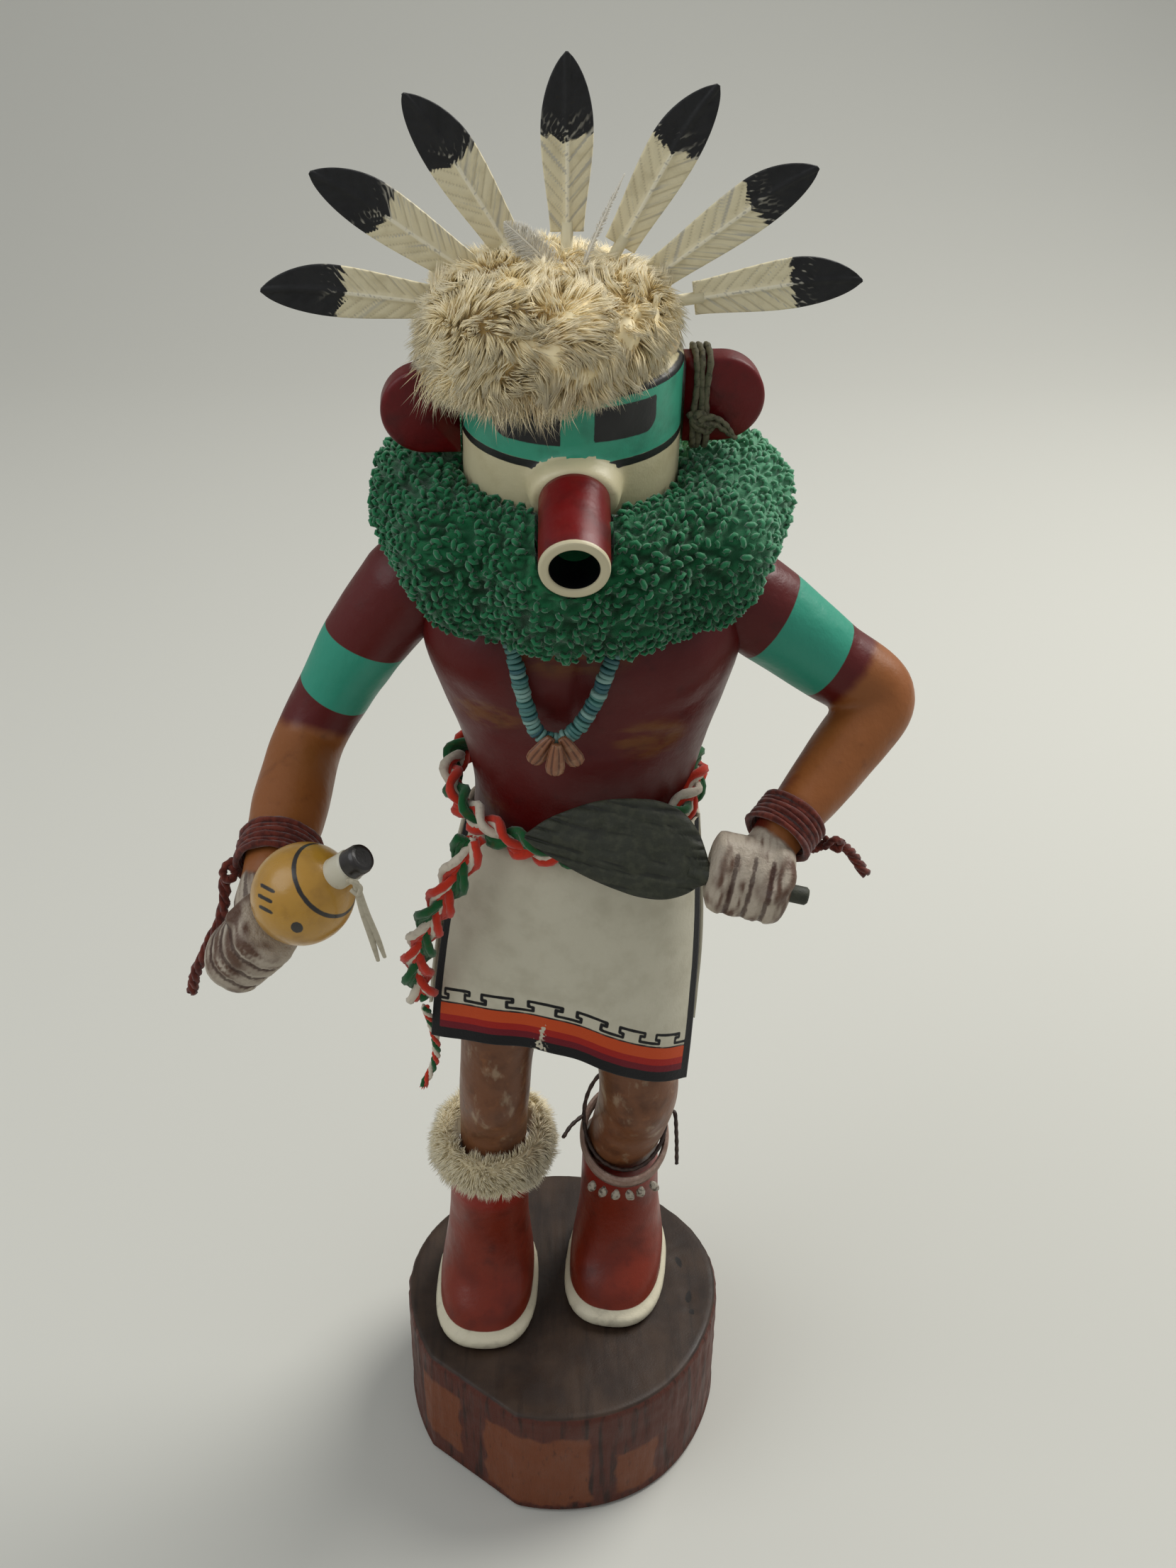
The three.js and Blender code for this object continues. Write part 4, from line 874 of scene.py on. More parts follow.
def arm(name, path, sizes, across, centre, stick, reach, slot_node, band):
    """band holds two planes across the upper arm: (point, normal) above and below the turquoise."""
    shape = unite([limb(path, sizes, 48, 110, across), *fist(centre, stick, reach)], 0.84, 1)
    p = shape[0]
    n = normals_of(shape)
    shape = (p + n * (0.35 * (noise(p, 7.0) - 0.5))[:, None], shape[1], shape[2])
    (upper, un), (lower, ln), brown, wrist = band
    along = unit(stick)
    out = unit(reach - (reach @ along) * along)
    over = np.cross(along, out)
    a, o, v = ((p - centre) @ d for d in (along, out, over))
    gap = np.minimum.reduce([np.abs(a - g) for g in (-4.4, 0, 4.4)])
    fingers = np.maximum(step(1.0, 4.0, o), step(-2.5, -4.5, v))
    strokes = noise(np.stack([a * 1.0, o * 0.22, v * 0.22], 1), 0.9) * 0.6 + noise(p, 3.5) * 0.4
    back = step(2.0, 6.0, v) * step(9.5, 5.5, o)
    paint = {
        "groove": fingers * step(1.0, 0.35, gap),
        "pale": strokes + 0.32 * back + 0.06 - 0.1 * fingers * (1 - back),
        "band": np.minimum.reduce([-(p - vec(*upper)) @ unit(un), (p - vec(*lower)) @ unit(ln),
                                   p[:, 2] - 256]),
        "brown": -(p - vec(*brown[0])) @ unit(brown[1]),
        "hand": (p - vec(*wrist[0])) @ unit(wrist[1]),
    }
    return piece(name, shape, ARM_PAINT, "arm", slot_node, paint=paint)


m = Paint("painted_arm", "560c0a", 0.42)
m.layer("8c5327", "brown", 1.6, 1.4, 6.0)
m.vary("3c1208", 6.0, 0.55, 0.85, 0.5)
m.layer("2f9279", "band", 0.15, 0.1, 4.0)
hand = m.layer("5d4334", "hand", 0.8, 0.8, 3.0)
m.over("b5a998", m.times(hand, m.by("pale", 0.25, 0.6, 0, 0.92)))
m.over("3a1f16", m.times(hand, m.by("groove", 0.35, 0.9, 0, 0.75)))
m.pitted(3.0, 3.0, 0.2).bump(m.times(m.noise(0.9, 4.0), hand), 0.4)
m.set("Specular IOR Level", 0.3)
m.set("Coat Weight", 0.1)
m.set("Coat Roughness", 0.3)
ARM_PAINT = m.done((0.34, 0.52, 7.0))


def plane_between(outer, inner):
    """A plane across an arm through two (x, z) points at y 0, facing up the arm."""
    (x0, z0), (x1, z1) = outer, inner
    normal = vec(z0 - z1, 0, x1 - x0)
    return (x0, 0, z0), normal if normal[2] > 0 else -normal


R_TOP, R_LOW = plane_between((-57.5, 282.5), (-38.1, 274)), plane_between((-63.5, 267.4), (-48.6, 258.5))
L_TOP, L_LOW = plane_between((56.4, 294.5), (43.6, 274.3)), plane_between((70.8, 282), (59.8, 264.4))
arm("carved_right_arm", ARM_R, ARM_R_SIZE, X, FIST_R, RATTLE_AXIS, FIST_R - vec(*ARM_R[5]), "right_arm",
    (R_TOP, R_LOW, ((-60, -2, 254), (0.25, 0.45, 0.86)), ((-67.9, -47, 238.4), (-0.2, -0.9, -0.4))))
arm("carved_left_arm", ARM_L, ARM_L_SIZE, Y, FIST_L, -WAND_AXIS, FIST_L - vec(*ARM_L[5]) + vec(0, 4, -14),
    "left_arm",
    (L_TOP, L_LOW, ((69, 0, 267), (-0.75, 0.1, 0.55)), ((50.5, -31, 239), (-0.62, -0.66, -0.43))))

# ---------- head: mask, snout and ears ----------
MASK_RADIUS, MASK_HEIGHT, CROWN = 24.5, 40.0, 8.0
CUFF_AT = vec(-0.4, -16, 19.6)
SNOUT_AXIS = unit(vec(-0.07, -math.cos(rad(11)), -math.sin(rad(11))))
CUFF_REACH, SNOUT_LENGTH = 12.2, 22.0
CUFF_WIDE, CUFF_HIGH = 10.2, 8.2
CUFF_SIDE = unit(np.cross(SNOUT_AXIS, Z))
CUFF_UP = np.cross(CUFF_SIDE, SNOUT_AXIS)
CREAM = "d9cfa8"


def mask():
    top = MASK_HEIGHT
    dome = [((MASK_RADIUS - 2.5) * math.cos(rad(a)), top + 0.5 + CROWN * math.sin(rad(a)))
            for a in range(8, 90, 8)]
    profile = [(0, 0), (MASK_RADIUS - 1.4, 0), (MASK_RADIUS, 2.4), (MASK_RADIUS, top - 1),
               (MASK_RADIUS - 0.4, top - 0.3),
               (MASK_RADIUS - 1.2, top), (MASK_RADIUS - 2.5, top + 0.5), *dome, (0, top + 0.5 + CROWN)]
    steps = np.array([(0, 0.8), (4, 0.7), (7, 0.3), (9, -0.1), (CUFF_REACH - 1.2, -0.5),
                      (CUFF_REACH - 0.5, -0.9), (CUFF_REACH - 0.1, -1.3), (CUFF_REACH, -1.8)])
    cuff = loft(ovals(CUFF_AT + steps[:, :1] * SNOUT_AXIS, CUFF_SIDE, CUFF_UP, CUFF_WIDE + steps[:, 1],
                      CUFF_HIGH + np.minimum(steps[:, 1], 0), 80))
    return unite([turned(profile, 160), cuff], 0.78, 2)


shape = mask()
p = shape[0]
round_at = np.degrees(np.arctan2(p[:, 1], p[:, 0]))
arc = np.radians(round_at + 90) * MASK_RADIUS
wall = (np.hypot(p[:, 0], p[:, 1]) < MASK_RADIUS + 0.6) | (p[:, 2] > 26)
STRIPE_LOW, STRIPE_HIGH = 22.5, 24.3


def eye(x0, x1, z0, z1, corner):
    """Signed distance inside a rectangle on the wall with one rounded lower corner."""
    inside = np.minimum.reduce([arc - x0, x1 - arc, p[:, 2] - z0, z1 - p[:, 2]])
    cx, sign = (x0 + corner, -1) if x0 < 0 else (x1 - corner, 1)
    dx, dz = (arc - cx) * sign, z0 + corner - p[:, 2]
    rounded = corner - np.hypot(dx, dz)
    return np.where((dx > 0) & (dz > 0), np.minimum(inside, rounded), inside)


eyes = np.maximum(eye(-20.2, -4.1, 28.2, 36.4, 3.4), eye(3.0, 18.4, 29.0, 36.8, 3.4))
line = np.maximum.reduce([
    np.minimum(p[:, 2] - STRIPE_LOW, STRIPE_HIGH - p[:, 2]),
    np.where(p[:, 2] > STRIPE_LOW, 0.75 - np.abs(np.abs(round_at + 90) - 81.0) * MASK_RADIUS * PI / 180, -9),
    np.where(np.abs(round_at + 90) < 81, 0.7 - np.abs(p[:, 2] - 39.3), -9),
])
front = np.where(wall & (np.abs(round_at + 90) < 81.0) & (p[:, 2] < 39.3), p[:, 2] - STRIPE_HIGH, -9)
m = Paint("painted_mask", CREAM, 0.4)
m.vary("bfb288", 9.0, 0.45, 0.8, 0.6)
m.layer("37a383", "front", 0.1, 0.06, 3.0)
m.over("2b8268", m.times(m.by("front", 0, 1), m.range(m.noise(6.0, 4.0), 0.45, 0.75, 0, 0.7)))
m.layer("0b0d0c", "line", 0.1, 0.1, 3.0)
m.layer("0a0a0c", "eyes", 0.15, 0.15, 2.0)
m.pitted(4.0, 3.0, 0.15).pitted(0.5, 2.0, 0.03)
m.set("Coat Weight", 0.15)
m.set("Coat Roughness", 0.35)
mask_paint = m.done((0.34, 0.5, 8.0))
piece("painted_mask", head_shape(shape), mask_paint, "mask", "mask",
      paint={"front": front, "line": np.where(wall, line, -9),
             "eyes": np.where(wall & (p[:, 1] < 0), eyes, -9)})

red = Paint("dark_red_wood", "66070a", 0.4)
red.vary("3d0507", 7.0, 0.4, 0.75, 0.7)
red.vary("7a2a22", 2.0, 0.66, 0.85, 0.25, stretch=(1, 1, 0.3))
red.pitted(3.0, 3.0, 0.15).pitted(0.5, 2.0, 0.03)
red.set("Specular IOR Level", 0.3)
red.set("Coat Weight", 0.1)
red.set("Coat Roughness", 0.3)
red_done = red.done((0.34, 0.5, 6.0))

L = SNOUT_LENGTH
tube_profile = [(0, 0), (7.65, 0), (7.65, 4), (7.6, 12), (7.5, L - 2), (7.45, L - 0.7), (7.3, L - 0.2),
                (6.95, L), (5.7, L), (5.4, L - 0.25),
                (5.25, L - 0.8), (5.1, L - 4), (4.9, L - 12), (0, L - 12)]
shape = turned(tube_profile, 96, 4)
z, r = shape[0][:, 2], np.hypot(shape[0][:, 0], shape[0][:, 1])
ring = np.where(z > L - 13, np.minimum(z - (L - 1.15), r - 5.0), -9)
ring = np.where((z > L - 0.9) & (r > 5.0), 1.0, ring)
bore = np.where((r < 5.32) & (z > L - 12.5), 1.0, -1.0)
m = Paint("painted_snout", "6e0b0f", 0.4)
m.vary("43060a", 8.0, 0.4, 0.75, 0.7)
m.layer("c9c0a0", "ring", 0.12, 0.12, 2.0)
m.layer("07060a", "bore", 0.1)
m.pitted(3.0, 3.0, 0.12)
m.set("Specular IOR Level", 0.3)
m.set("Coat Weight", 0.1)
m.set("Coat Roughness", 0.3)
shape = aim(shape, CUFF_AT + (CUFF_REACH + 0.3) * SNOUT_AXIS, CUFF_AT + (CUFF_REACH + 9) * SNOUT_AXIS)
piece("painted_snout", head_shape(shape), m.done((0.3, 0.45, 6.0)), "red_wood", "snout",
      paint={"ring": ring, "bore": bore})


EAR_HEIGHT, EAR_THICKNESS = 19.8, 6.5


def ear(side, reach):
    """A thick plate with a round outer end and eased edges, from the mask outwards."""
    half = EAR_HEIGHT / 2
    arcs = [(reach - half + half * math.cos(a), half * math.sin(a)) for a in np.linspace(-PI / 2, PI / 2, 48)]
    straight = [(x, half) for x in np.linspace(reach - half, 0, 8)[1:]]
    left = [(0, z) for z in np.linspace(half, -half, 16)[1:-1]]
    back = [(x, -half) for x in np.linspace(0, reach - half, 8)[:-1]]
    outline = np.array(arcs + straight + left + back)
    middle = vec((reach - half) * 0.6, 0)
    rings = []
    ease = [(1.35, 0.0), (0.75, 0.12), (0.3, 0.42), (0.06, 0.85), (0, 1.4)]
    for inset, depth in ease + [(0, EAR_THICKNESS - d) for _, d in ease[::-1]]:
        if depth > EAR_THICKNESS / 2:
            inset = [i for i, d in ease if abs(d - (EAR_THICKNESS - depth)) < 1e-6][0]
        to = unit(outline - middle) * inset
        rings.append(np.stack([outline[:, 0] - to[:, 0] * (outline[:, 0] > 0.1),
                               np.full(len(outline), depth - EAR_THICKNESS / 2),
                               outline[:, 1] - to[:, 1]], 1))
    shape = loft(np.array(rings))
    return shape if side > 0 else moved(shape, turn("z", 180))


EAR_X = MASK_RADIUS + 0.35
piece("right_ear_plate", head_shape(moved(ear(-1, 17.4), offset=(-EAR_X, 0, 26.6))), red_done, "red_wood",
      "right_ear")
piece("left_ear_plate", head_shape(moved(ear(1, 18.2), offset=(EAR_X, 0, 28.2))), red_done, "red_wood",
      "left_ear")


def ear_tie():
    """Three strands of thong round the ear plate, with a knot low on the front and two frayed tails."""
    h, d = 19.8 / 2 + 0.75, 6.5 / 2 + 0.75
    loop = curve([(0, -d, -h + 1), (0, -d, 0), (0, -d, h - 1), (0, -d + 1.2, h), (0, d - 1.2, h),
                  (0, d, h - 1), (0, d, 0), (0, d, -h + 1),
                  (0, d - 1.2, -h), (0, -d + 1.2, -h)], 90, True)
    shapes = []
    for k, x in enumerate((-1.35, 0.0, 1.35)):
        wobble = 0.25 * np.sin(loop[:, 2] * 0.35 + k * 2)
        shapes.append(tube(loop + np.stack([x + wobble, 0 * wobble, 0 * wobble], 1), 0.72, 10, True, 2,
                           0.12, 0.9, X))
    f = -d - 0.6
    shapes.append(tube(curve([(-2.6, f + 0.4, -2.2), (-1.2, f - 0.9, -3.6), (1.2, f - 1.1, -4.4),
                              (2.8, f, -4.9), (2.2, f + 0.3, -6.6), (0, f - 0.7, -5.8), (-1.8, f - 0.9, -3.9),
                              (-0.6, f - 0.8, -2.0), (1.6, f - 0.5, -2.8)], 60), 0.8, 9, lobes=2,
                              depth=0.15, twist=1.2))
    shapes.append(tube(curve([(0.4, f - 1.2, -4.2), (3.2, f - 0.9, -4.4), (6.0, f - 0.3, -6.6),
                              (8.4, f + 0.3, -8.6)], 30), np.linspace(0.85, 0.5, 31), 9, lobes=2,
                              depth=0.2, twist=1.5))
    shapes.append(tube(curve([(-0.6, f - 1.1, -3.4), (2.4, f - 1.3, -2.6), (5.4, f - 0.8, -4.4),
                              (7.6, f - 0.1, -7.4)], 30), np.linspace(0.8, 0.45, 31), 9, lobes=2,
                              depth=0.2, twist=1.5))
    return merge(shapes)


m = Paint("olive_thong", "6b6750", 0.75)
m.vary("3c3a2c", 1.2, 0.45, 0.7, 0.9)
m.vary("8d8970", 0.7, 0.6, 0.8, 0.6)
m.pitted(0.4, 4.0, 0.12)
piece("ear_tie_thong", head_shape(moved(ear_tie(), offset=(EAR_X + 3.6, 0, 28.2))), m.done(), "thong",
      "ear_tie")

# ---------- feathers: carved blades with a quill and cut barbs, on pegs ----------
FEATHERS = [(-82.6, 65.7, 4.7, 5, 17.5), (-55, 63.8, 0, 0, 17.5), (-32, 60.3, 0, 0, 16.5),
            (0, 58, 0, 0, 16.5), (29.5, 60.3, 0, 0, 15.5),
            (54.8, 63.8, 0, 0, 15.5), (82.1, 65, 4.7, 5, 15.5)]
TIP, HALF = 15.0, 5.5


def feather(length, skew, bare):
    start = 23.0 + bare
    z = np.concatenate([np.linspace(start, length - TIP, 54),
                        length - TIP + TIP * (1 - (1 - np.linspace(0, 1, 28)[1:]) ** 1.5)])
    left = np.maximum((z - (length - TIP)) / TIP, 0)
    width = np.where(left > 0, np.maximum(HALF * np.maximum(1 - left**2, 0) ** 0.72, 0.3),
                     3.6 + (HALF - 3.6) * step(start, length - TIP, z) ** 0.8)
    u = np.concatenate([[-1, -0.985], np.linspace(-0.95, 0.95, 23), [0.985, 1]])
    sheet = []
    for face in (1, -1):
        x = width[:, None] * u[None, :]
        shaft = np.maximum(1 - (np.abs(x) / 0.75) ** 2, 0) ** 0.5 * (1.25 - 0.55 * z / length)[:, None]
        slope = z[:, None] - 1.15 * np.abs(x)
        barb = 0.5 + 0.5 * np.cos(2 * PI * slope / 3.1 + (0.6 if skew > 0 else 0) * np.sign(x))
        cut = 0.16 * np.clip(barb * 4 - 3, 0, 1) * (np.abs(x) > 0.8) * (np.abs(u)[None, :] < 0.97)
        blade = 0.48 + 0.12 * (1 - np.abs(u)[None, :]) - cut
        edge = np.where(np.abs(u)[None, :] > 0.99, 0.1, np.where(np.abs(u)[None, :] > 0.97, 0.36, blade))
        y = np.maximum(edge, np.where(np.abs(x) < 0.75, 0.5 + 0.0 * x, 0) * (shaft > 0) + shaft * 0.55) * face
        sheet.append(np.stack([x + (skew * left**2)[:, None], y, np.repeat(z[:, None], len(u), 1)], -1))
    rings = np.concatenate([sheet[0], sheet[1][:, ::-1]], 1)
    return loft(rings)


m = Paint("carved_feather", "dfd5b2", 0.6)
m.vary("bcb08b", 4.0, 0.45, 0.8, 0.5)
m.over("ebe4ca", m.by("quill", 0.0, 0.3))
m.over("a99d7e", m.by("cut", 0.3, 1.0, 0, 0.5))
tip_edge = m.maths("ADD", m.attribute("tip"), m.maths("MULTIPLY_ADD", m.attribute("hair"), 2.6, -0.6))
m.over("090a0c", m.range(tip_edge, 0.0, 0.5))
m.over("b7b3a4", m.times(m.by("frost", 0.55, 0.8, 0, 0.9), m.by("tip", 5.5, 0.5)))
m.pitted(0.5, 3.0, 0.05)
feather_paint = m.done((0.5, 0.7, 4.0))
for k, (angle, length, lift, bare, black) in enumerate(FEATHERS):
    skew = 1.6 * np.sign(angle)
    blade = feather(length, skew, bare)
    foot = 1 / math.sqrt((math.sin(rad(angle)) / 22) ** 2 + (math.cos(rad(angle)) / 8.5) ** 2) - 2.4
    pts = blade[0]
    x = pts[:, 0] - skew * np.maximum((pts[:, 2] - (length - TIP)) / TIP, 0) ** 2
    slope = pts[:, 2] - 1.15 * np.abs(x)
    hair = noise(np.stack([slope * 1.0, np.sign(x) * 40 + 0.05 * x, 0 * x + 7 * k], 1), 0.55)
    frost = noise(np.stack([slope, np.sign(x) * 40 + 0.03 * x, 0 * x + 50 + 7 * k], 1), 0.38)
    cut = np.clip((0.5 + 0.5 * np.cos(2 * PI * slope / 3.1)) * 4 - 3, 0, 1) * (np.abs(x) > 0.8)
    peg = tube([(0, 0, foot), (0, 0, foot + 4), (0, 0, 23.0 + bare + 2)], 1.3, 16, start=X)
    shape = merge([blade, peg])
    pad = np.zeros(len(peg[0]))
    paint = {"tip": np.concatenate([pts[:, 2] - 0.25 * np.abs(x) - (length - black), pad - 20]),
             "quill": np.concatenate([0.55 - np.abs(x), pad]),
             "cut": np.concatenate([cut, pad]), "hair": np.concatenate([hair, pad]),
             "frost": np.concatenate([frost, pad])}
    shape = moved(moved(shape, turn("y", angle), (0, 0, lift)), FAN, FAN_AT)
    piece(f"feather_blade_{k + 1}", head_shape(shape), feather_paint, "feather", f"feather_{k + 1}",
          paint=paint)

# ---------- fur ----------
def hairs(roots, directions, lengths, widths, droop=0.0, curl=0.0, segments=4):
    """Tapered three-sided hairs. Each leaves its root along its direction and bends down and sideways."""
    n = len(roots)
    directions = unit(directions)
    side = unit(np.cross(directions, rng.normal(size=(n, 3))))
    t = np.linspace(0, 1, segments + 1)
    bend = side * (curl * rng.normal(size=(n, 1)))
    path = roots[:, None] + lengths[:, None, None] * (
        t[None, :, None] * directions[:, None] + (t**2)[None, :, None] * bend[:, None] * 0.5
        + (t**2)[None, :, None] * np.array([0, 0, -1.0]) * droop
    )
    tangent = unit(np.gradient(path, axis=1))
    s = unit(np.cross(tangent, side[:, None] + 1e-4))
    u = np.cross(tangent, s)
    radius = widths[:, None] * 0.5 * np.array([1.0] + [1 - 0.25 * k / segments
        for k in range(1, segments)] + [0.0])[None]
    rings = []
    for a in (0, 2 * PI / 3, 4 * PI / 3):
        rings.append(path + radius[..., None] * (math.cos(a) * s + math.sin(a) * u))
    body = np.stack(rings, 2)[:, :segments]  # n, segments, 3 sides, 3
    points = np.concatenate([body.reshape(n, -1, 3), path[:, -1:]], 1)
    per = points.shape[1]
    quads = grid(segments, 3)
    tip = per - 1
    last = (segments - 1) * 3
    tris = np.array([[0, 2, 1], [last, last + 1, tip], [last + 1, last + 2, tip], [last + 2, last, tip]])
    shift = (np.arange(n) * per)[:, None, None]
    return points.reshape(-1, 3), (quads[None] + shift).reshape(-1, 4), (tris[None] + shift).reshape(-1,
        3), per


def fur_paint(name, base, warm, pale, rough=0.75):
    m = Paint(name, base, rough)
    m.over(warm, m.by("tint", 0.35, 0.85, 0, 0.85))
    m.over(pale, m.by("along", 0.2, 1.0, 0, 0.7))
    m.set("Sheen Weight", 0.2)
    m.set("Specular IOR Level", 0.25)
    return m.done()


def sampled(at, n):
    """Even random (u, v) pairs over a parametric surface, thinned by its area."""
    u, v = rng.random(n * 3), rng.random(n * 3)
    e = 1e-3
    a = np.linalg.norm(np.cross(at(u + e, v) - at(u - e, v), at(u, v + e) - at(u, v - e)), axis=1)
    keep = rng.random(n * 3) < a / a.max()
    return u[keep][:n], v[keep][:n]


CROWN_LEVELS = np.array([(24.6, 41.0), (26.0, 43.6), (25.9, 48.0), (23.8, 52.2), (18.8, 55.8),
                         (10.8, 58.2), (3.0, 59.0)])


def crown_at(u, v, shrink=1.0):
    """The hide in the head's frame: u round from the figure's left, v from the brow's edge to the top."""
    angle = 2 * PI * u
    level = np.clip(v, 0, 1) * (len(CROWN_LEVELS) - 1)
    r = np.interp(level, range(len(CROWN_LEVELS)), CROWN_LEVELS[:, 0]) * shrink
    z = np.interp(level, range(len(CROWN_LEVELS)), CROWN_LEVELS[:, 1])
    lump = 1 + 0.035 * np.sin(5 * angle + 1) + 0.025 * np.sin(8 * angle)
    right = np.maximum(-np.cos(angle - 0.5), 0)
    z = z - 2.6 * right * step(0.5, 0.0, v)
    return np.stack([-5.8 + r * lump * np.cos(angle), -2.0 + r * 0.96 * lump * np.sin(angle), z], 1)


def crown_normal(u, v):
    e = 1e-3
    du = crown_at(u + e, v) - crown_at(u - e, v)
    dv = crown_at(u, np.clip(v + e, 0, 1)) - crown_at(u, np.clip(v - e, 0, 1))
    normal = unit(np.cross(du, dv))
    outward = crown_at(u, v) - vec(-4, -2, 40)
    return normal * np.sign((normal * outward).sum(1, keepdims=True)), unit(dv)


def fur_base():
    rows, sides = 42, 136
    u = np.tile(np.arange(sides) / sides, (rows, 1))
    v = np.repeat(np.linspace(0, 1, rows)[:, None], sides, 1)
    outer = crown_at(u.ravel(), v.ravel()).reshape(rows, sides, 3)
    flat = outer.reshape(-1, 3)
    lumps = (noise(flat, 5.0) + 0.6 * noise(flat, 2.4) + 0.3 * noise(flat, 1.2)).reshape(rows, sides)
    outward = unit(outer - vec(-4, -2, 36))
    outer = outer + outward * (2.6 * (lumps - 0.95))[..., None]
    inner = [outer[0] * [0.96, 0.96, 1] + [0, 0, 0.5]]
    under = [np.stack([r * np.cos(2 * PI * u[0]), r * np.sin(2 * PI * u[0]), np.full(sides, z)], 1) for r,
             z in ((23.4, 42.4), (21.6, 45.4), (14.4, 48.8), (6, 50.2))]
    return loft(np.concatenate([np.array(under[::-1]), np.array(inner[::-1]), outer]))


def fur(count, clumps, surface, length, width, lay, comb, draw=0.7, lift=0.9, segments=3):
    """Fur over a surface: hairs lie along a combed field, lift at their ends and draw together in tufts.

    surface(n) gives n roots, their normals and the way down the coat. lay is how flat the hairs lie.
    """
    def line(root, normal, down, size, wild):
        field = np.stack([noise(root + 50 * k, 6.5) for k in range(1, 4)], 1) - 0.5
        along_skin = unit(3.2 * (1 - comb) * field + comb * down)
        along_skin = along_skin - normal * (along_skin * normal).sum(1, keepdims=True)
        start = unit(normal + lay * along_skin + wild)
        t = np.linspace(0, 1, segments + 1)[None, :, None]
        return (root[:, None] + size[:, None, None]
                * (t * start[:, None] + 0.5 * t**2 * (lift * along_skin)[:, None]))

    c_root, c_normal, c_down = surface(clumps)
    c_size = rng.uniform(*length, len(c_root))
    c_path = line(c_root, c_normal, c_down, c_size, 0.42 * rng.normal(size=c_root.shape))
    tree = KDTree(len(c_root))
    for k, spot in enumerate(c_root):
        tree.insert(spot, k)
    tree.balance()
    root, normal, down = surface(count)
    near_clump = np.array([tree.find(spot)[1] for spot in root])
    size = c_size[near_clump] * rng.uniform(0.7, 1.15, len(root))
    path = line(root, normal, down, size, 0.16 * rng.normal(size=root.shape))
    t = np.linspace(0, 1, segments + 1)[None, :, None]
    pull = draw * rng.uniform(0.6, 1.1, (len(root), 1, 1))
    path = path + (c_path[near_clump] - path) * pull * t**1.3
    path = path - 0.5 * normal[:, None]
    return strands(path, rng.uniform(0.75, 1.25, len(root)) * width), root


def strands(path, widths):
    """Closed tapered three-sided hairs along the rows of points in path (hairs, points, 3)."""
    n, rows = path.shape[:2]
    segments = rows - 1
    tangent = unit(np.gradient(path, axis=1))
    hint = rng.normal(size=(n, 1, 3))
    s = unit(np.cross(tangent, hint))
    u = np.cross(tangent, s)
    radius = widths[:, None] * 0.5 * np.array([1 - 0.3 * k / segments for k in range(segments)] + [0.0])[None]
    rings = [path + radius[..., None] * (math.cos(a) * s + math.sin(a) * u)
             for a in (0, 2 * PI / 3, 4 * PI / 3)]
    body = np.stack(rings, 2)[:, :segments]
    points = np.concatenate([body.reshape(n, -1, 3), path[:, -1:]], 1)
    per = points.shape[1]
    quads = grid(segments, 3)
    tip = per - 1
    last = (segments - 1) * 3
    tris = np.array([[0, 2, 1], [last, last + 1, tip], [last + 1, last + 2, tip], [last + 2, last, tip]])
    shift = (np.arange(n) * per)[:, None, None]
    return points.reshape(-1, 3), (quads[None] + shift).reshape(-1, 4), (tris[None] + shift).reshape(-1,
        3), per


def fur_tints(roots, per, count, base=0.0):
    tuft = noise(roots, 5.0) * 0.6 + noise(roots, 2.2) * 0.4
    tint = np.clip(base + tuft + rng.normal(0, 0.1, len(roots)), 0, 1)
    along = np.linspace(0, 1, count + 1)
    along = np.concatenate([np.repeat(along[:count], 3), [1.0]])
    return {"tint": np.repeat(tint, per), "along": np.tile(along, len(roots))}


FUR = fur_paint("crown_fur", "f5e3b2", "cfae6c", "fff5d8")
base = fur_base()
# painted shade and light: the hide is darker and warmer in its hollows and paler on its lumps
deep = (noise(base[0], 5.0) + 0.6 * noise(base[0], 2.4) + 0.3 * noise(base[0], 1.2) - 0.45) / 1.0
piece("fur_crown_hide", head_shape(base), FUR, "fur", "fur_crown",
      paint={"tint": np.clip(1.1 - deep, 0, 1), "along": np.clip(deep * 0.6, 0, 1)})


def crown_surface(v_low, v_high):
    def surface(n):
        u, v = sampled(lambda a, b: crown_at(a, v_low + b * (v_high - v_low)), n)
        v = v_low + v * (v_high - v_low)
        normal, up_slope = crown_normal(u, v)
        return crown_at(u, v), normal, -up_slope
    return surface


for name, low, high, length, comb in (("top", 0.42, 1.0, (3.6, 5.4), 0.12),
                                      ("side", 0.0, 0.5, (3.8, 6.0), 0.5)):
    (hp, hq, ht, per), roots = fur(8300, 560, crown_surface(low, high), length, 0.32, 1.1, comb, segments=2)
    piece(f"fur_crown_{name}_hair", head_shape((hp, hq, ht)), FUR, "fur",
          paint=fur_tints(roots, per, 2, -0.18))


